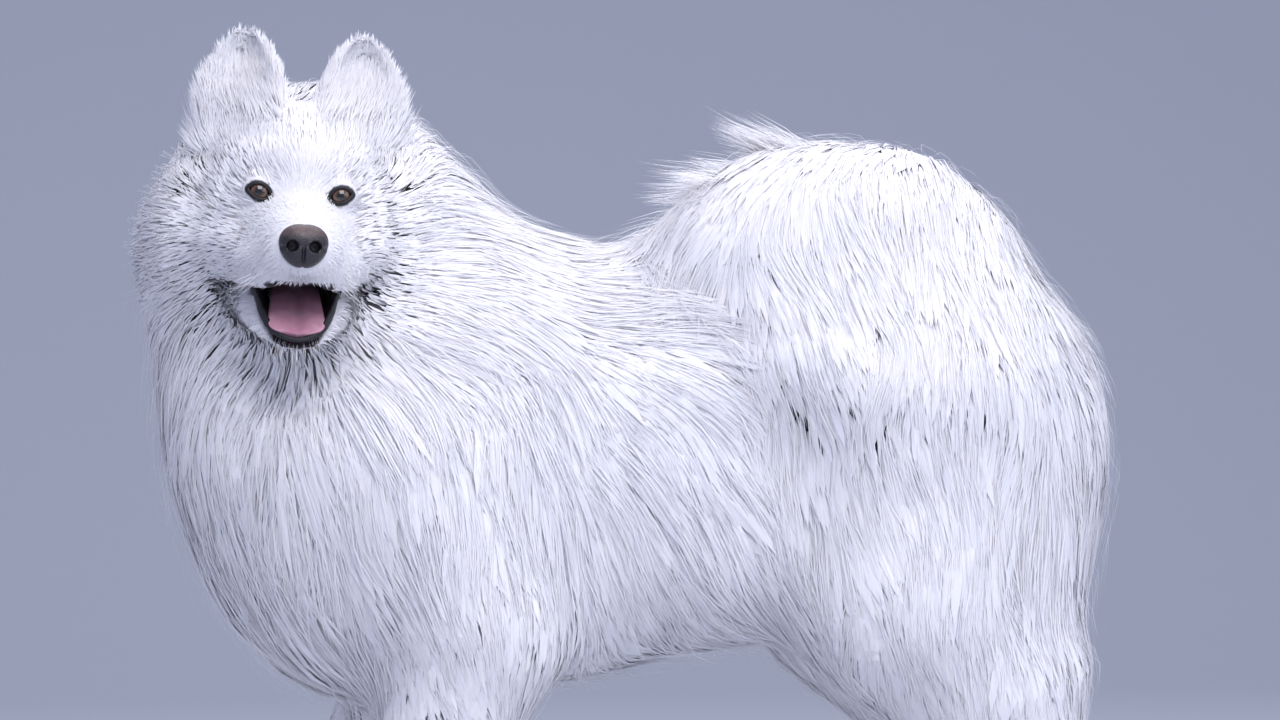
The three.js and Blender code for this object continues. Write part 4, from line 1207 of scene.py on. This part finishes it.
def plume_wisps():
    locks, count = 42, int(1600 * DENSITY)
    lock_place = rng.uniform(0, 1, locks)
    lock_tip = through(FAN, np.clip(lock_place + rng.normal(0, 0.04, locks), 0, 1))
    lock_y = rng.normal(-62, 15, locks)
    lock_reach = rng.uniform(0.66, 1.05, locks)
    own = rng.integers(0, locks, count)
    start = through(TAIL_LINE, mix(0.5, 1.0, np.clip(lock_place[own] + rng.normal(0, 0.05, count), 0, 1)))
    start = start + rng.normal(0, 1, (count, 3)) * [9, 12, 6]
    tips = np.column_stack([lock_tip[own, 0], lock_y[own], lock_tip[own, 1]])
    tips = start + (tips - start) * (lock_reach[own] * rng.uniform(0.75, 1.05, count))[:, None]
    tips = tips + rng.normal(0, 3.5, (count, 3))
    path = []
    for at in PATH_SHARES:
        arch = np.array([0.0, 0.0, 40.0]) * at * (1 - at)
        path.append(start + (tips - start) * at + arch)
    path = np.stack(path, 1)
    outs = unit(np.tile([-0.3, -0.7, 0.8], (count, len(PATH_SHARES), 1)))
    share = np.zeros((count, len(PART_NAMES)))
    share[:, TAIL_PART] = 1
    width = rng.uniform(0.45, 0.9, count)
    coat_pieces("coat_wisps", path, outs, share, width, width * 0.3, shades(count, 4, 0.97))


plume_wisps()


# Short hair on the face, the ears and the feet
def short_weight(points):
    """How thickly short hair stands at points: on the head, most on the crown, and on the feet."""
    p = into_head(points)
    on_head = (np.abs(p) < [95, 200, 150]).all(1) & (p[:, 1] < 100)
    crown = smooth_step(p[:, 2], 40, 70) * (1 - smooth_step(np.abs(p[:, 0]), 26, 40))
    return np.where(on_head, 1.0 + crown, np.where(points[:, 2] < 160, 0.22, 0.0))


def short_coat():
    roots, out = quad_samples(skin_points, skin_quads, int(35000 * DENSITY), short_weight)
    p = into_head(roots)
    keep = (roots[:, 2] > 3) & (ellipsoid(p, NOSE, [19.8, 16, 17.6]) > 0) & (mouth_share(p) < 0.4)
    for side in SIDES:
        keep &= eye_opening(p, side, 12, 9.2) > 1
    roots, out, p = roots[keep], out[keep], p[keep]
    depth = coat_depth(roots)
    on_ear = smooth_step(p[:, 2], 50, 70)
    ear_top = smooth_step(p[:, 2], 100, 130)
    muzzle = smooth_step(-p[:, 1], 10, 60)
    length = mix(np.clip(6 + 0.9 * depth, 7, 26) * mix(1.0, 0.7, muzzle), mix(11.0, 6.0, ear_top), on_ear)
    length *= rng.uniform(0.75, 1.3, len(roots))
    lift = mix(np.clip(0.22 * depth, 1.0, 5.0), 1.6, on_ear) * rng.uniform(0.6, 1.3, len(roots))
    path, outs, share = short_paths(roots, out, length, lift)
    keep = path[:, :, 2].min(1) > 1.5
    path, outs, share, depth = path[keep], outs[keep], share[keep], depth[keep]
    width = np.clip(0.7 + 0.015 * depth, 0.75, 1.2) * rng.uniform(0.8, 1.25, len(path))
    p = into_head(path[:, 0])
    # painted shadow of the nose, darkening the short hair just below it
    nose_shadow = np.exp(-(p[:, 0] / 10) ** 2 - ((p[:, 2] + 62) / 7) ** 2) * smooth_step(-p[:, 1], 40, 60)
    colours = shades(len(path), 3, 0.96, 0.03) * (1 - 0.4 * nose_shadow)[:, None, None]
    coat_pieces("coat_short", path, outs, share, width, width * 0.18, colours)


short_coat()


# Fluff that fills the cups of the ears
def ear_fluff():
    roots, out = quad_samples(skin_points, skin_quads, int(5000 * DENSITY), ear_weight)
    p = into_head(roots)
    ahead = -(out @ HEAD_TURN)[:, 1]
    keep = (ahead > 0.15) & (p[:, 2] < 112)
    roots, out, p = roots[keep], out[keep], p[keep]
    height = smooth_step(p[:, 2], 45, 115)
    aside = np.sign(p[:, 0]) * mix(0.4, 0.05, height)
    way = np.column_stack([aside, np.full(len(p), -0.22), np.full(len(p), 1.0)])
    way = unit(way + rng.normal(0, 0.16, p.shape)) @ HEAD_TURN.T
    length = mix(26.0, 11.0, height) * rng.uniform(0.7, 1.2, len(p))
    path = np.stack([roots + (way * length[:, None]) * at - out * (1 - at) for at in SHORT_SHARES], 1)
    path = clumped(path, roots, 10, 0.4)
    outs = unit(np.repeat(out[:, None], 3, 1) + HEAD_TURN @ np.array([0.0, -1.0, 0.2]))
    width = rng.uniform(0.7, 1.2, len(p))
    # the fluff's roots take a deeper painted shade, standing in for the shade in the cups of the ears
    coat_pieces("ear_fluff", path, outs, weights(roots), width, width * 0.25, shades(len(p), 3, 0.86, 0.03))


def ear_weight(points):
    x, y, z = into_head(points).T
    on_cup = (z < 115) & (np.abs(x) > 14) & (np.abs(x) < 84) & (y < 62)
    return on_cup * smooth_step(z, 48, 76)


ear_fluff()


# Whiskers on the muzzle, and longer hairs below the chin
def whiskers():
    starts, ways, lengths = [], [], []
    for side in SIDES:
        for _ in range(11):
            row, place = rng.uniform(0, 1, 2)
            starts.append([side * mix(17, 31, place), mix(-64, -36, place), mix(-70, -56, row)])
            ways.append([side * rng.uniform(0.7, 1.1), rng.uniform(-0.5, 0.1), rng.uniform(-0.7, -0.1)])
            lengths.append(rng.uniform(16, 34))
    for _ in range(22):
        place = rng.uniform(-1, 1)
        starts.append([place * 16, -50 + 8 * abs(place), -117 + 6 * abs(place)])
        ways.append([place * 0.5, rng.uniform(-0.5, -0.1), -1])
        lengths.append(rng.uniform(7, 15))
    starts, ways, lengths = np.array(starts), unit(np.array(ways)), np.array(lengths)
    path = [starts + ways * (lengths * at)[:, None] + [0, 0, -5.0 * at ** 2] for at in PATH_SHARES]
    path = np.stack([from_head(p) for p in path], 1)
    outs = unit(np.tile([0.0, -1.0, 0.5], (len(starts), len(PATH_SHARES), 1)))
    share = np.zeros((len(starts), len(PART_NAMES)))
    share[:, HEAD_PART] = 1
    width = np.full(len(starts), 0.3)
    coat_pieces("whiskers", path, outs, share, width, width * 0.6, shades(len(starts), 4, 1.0, 0.02))


whiskers()


def claw_pieces():
    """Claws at the ends of the toes, a piece for each foot."""
    horn = [(0.35, (0.05, 0.042, 0.04)), (0.7, (0.2, 0.17, 0.155))]
    made, _, _ = grained("claw_horn", 260, horn, 900, 3, 0.4, 0.0003, Roughness=0.38, Coat_Weight=0.3,
                         Coat_Roughness=0.2)
    rings, spokes = 12, 14
    radius = 3.3 * np.sqrt(1 - (np.arange(rings) / (rings - 1)) ** 2) + 0.15
    turn = 2 * math.pi * np.arange(spokes) / spokes
    around = np.stack([0.3 * np.sin(turn), 0.8 * np.cos(turn), np.sin(turn)], 1)
    tube = ring_faces(rings, spokes)
    for side in SIDES:
        for hind in (False, True):
            points = []
            for toe in TOES:
                x = paw_x(side, hind) - (5 - 4.5 * (abs(toe) - 0.5))
                y = side * (STANCE - 1) + toe * 14.6 * (0.92 if hind else 1)
                line = through([[x - 10, y, 14.5], [x - 18, y, 14.5], [x - 26, y, 11], [x - 31, y, 4.5]],
                               np.linspace(0, 1, rings))
                points.append((line[:, None] + radius[:, None, None] * around).reshape(-1, 3))
            faces = np.concatenate([tube + n * rings * spokes for n in range(len(TOES))])
            name = f"claws_{'hind' if hind else 'fore'}_{hand(side)}"
            piece = mesh_object(name, np.concatenate(points), faces)
            piece.data.materials.append(made)
            belongs(piece, None)


claw_pieces()


# The studio: a pale floor that curves up behind, soft lights all round, and the camera

def studio():
    """A floor that curves up behind into a wall."""
    bend = np.linspace(0.1, math.pi / 2, 12)
    depth = np.concatenate([np.linspace(-6000, 2600, 12), 2600 + 1800 * np.sin(bend), [4400]])
    height = np.concatenate([np.zeros(12), 1800 * (1 - np.cos(bend)), [6000]])
    points = [[x, y, z] for y, z in zip(depth, height) for x in (-7000, 7000)]
    faces = [[2 * i, 2 * i + 1, 2 * i + 3, 2 * i + 2] for i in range(len(depth) - 1)]
    floor = mesh_object("studio_floor", np.array(points) + CENTRE, faces)
    made, _, _ = material("studio_paper", Base_Color=(0.56, 0.585, 0.64, 1), Roughness=0.9)
    floor.data.materials.append(made)


def soft_light(name, place, aim, size, power, colour):
    data = bpy.data.lights.new(name, "AREA")
    data.shape = "RECTANGLE"
    data.size, data.size_y = size
    data.energy = power
    data.color = colour
    lamp = bpy.data.objects.new(name, data)
    lamp.location = place
    lamp.rotation_mode = "QUATERNION"
    lamp.rotation_quaternion = (Vector(aim) - Vector(place)).to_track_quat("-Z", "Y")
    bpy.context.scene.collection.objects.link(lamp)


studio()
soft_light("key", (0.2, -2.2, 2.7), (-0.05, 0, 0.55), (2.2, 2.0), 66, (1.0, 0.985, 1.0))
soft_light("fill", (2.2, -2.2, 1.5), (0.1, 0, 0.5), (2.0, 2.0), 18, (0.87, 0.91, 1.0))
soft_light("top", (0.2, 0.5, 2.6), (0.1, 0, 0.5), (2.4, 1.8), 28, (0.97, 0.975, 1.0))

world = bpy.data.worlds.new("studio_air")
world.use_nodes = True
air = world.node_tree.nodes["Background"].inputs
air["Color"].default_value = (0.61, 0.66, 0.92, 1)
air["Strength"].default_value = 0.56
bpy.context.scene.world = world

# The camera, with its focal length in the picture's pixels
CAMERA_PLACE = [-418, -2971, 504]
CAMERA_YAW = math.radians(8)
FOCAL_PIXELS = 3720
PICTURE_WIDTH = 1280
SENSOR = 36
camera_data = bpy.data.cameras.new("camera")
camera_data.sensor_width = SENSOR
camera_data.lens = FOCAL_PIXELS / PICTURE_WIDTH * SENSOR
camera = bpy.data.objects.new("camera", camera_data)
camera.location = to_metres(CAMERA_PLACE)
camera.rotation_euler = (math.pi / 2, 0, -CAMERA_YAW)
bpy.context.scene.collection.objects.link(camera)
bpy.context.scene.camera = camera
bpy.context.scene.view_settings.view_transform = "Standard"
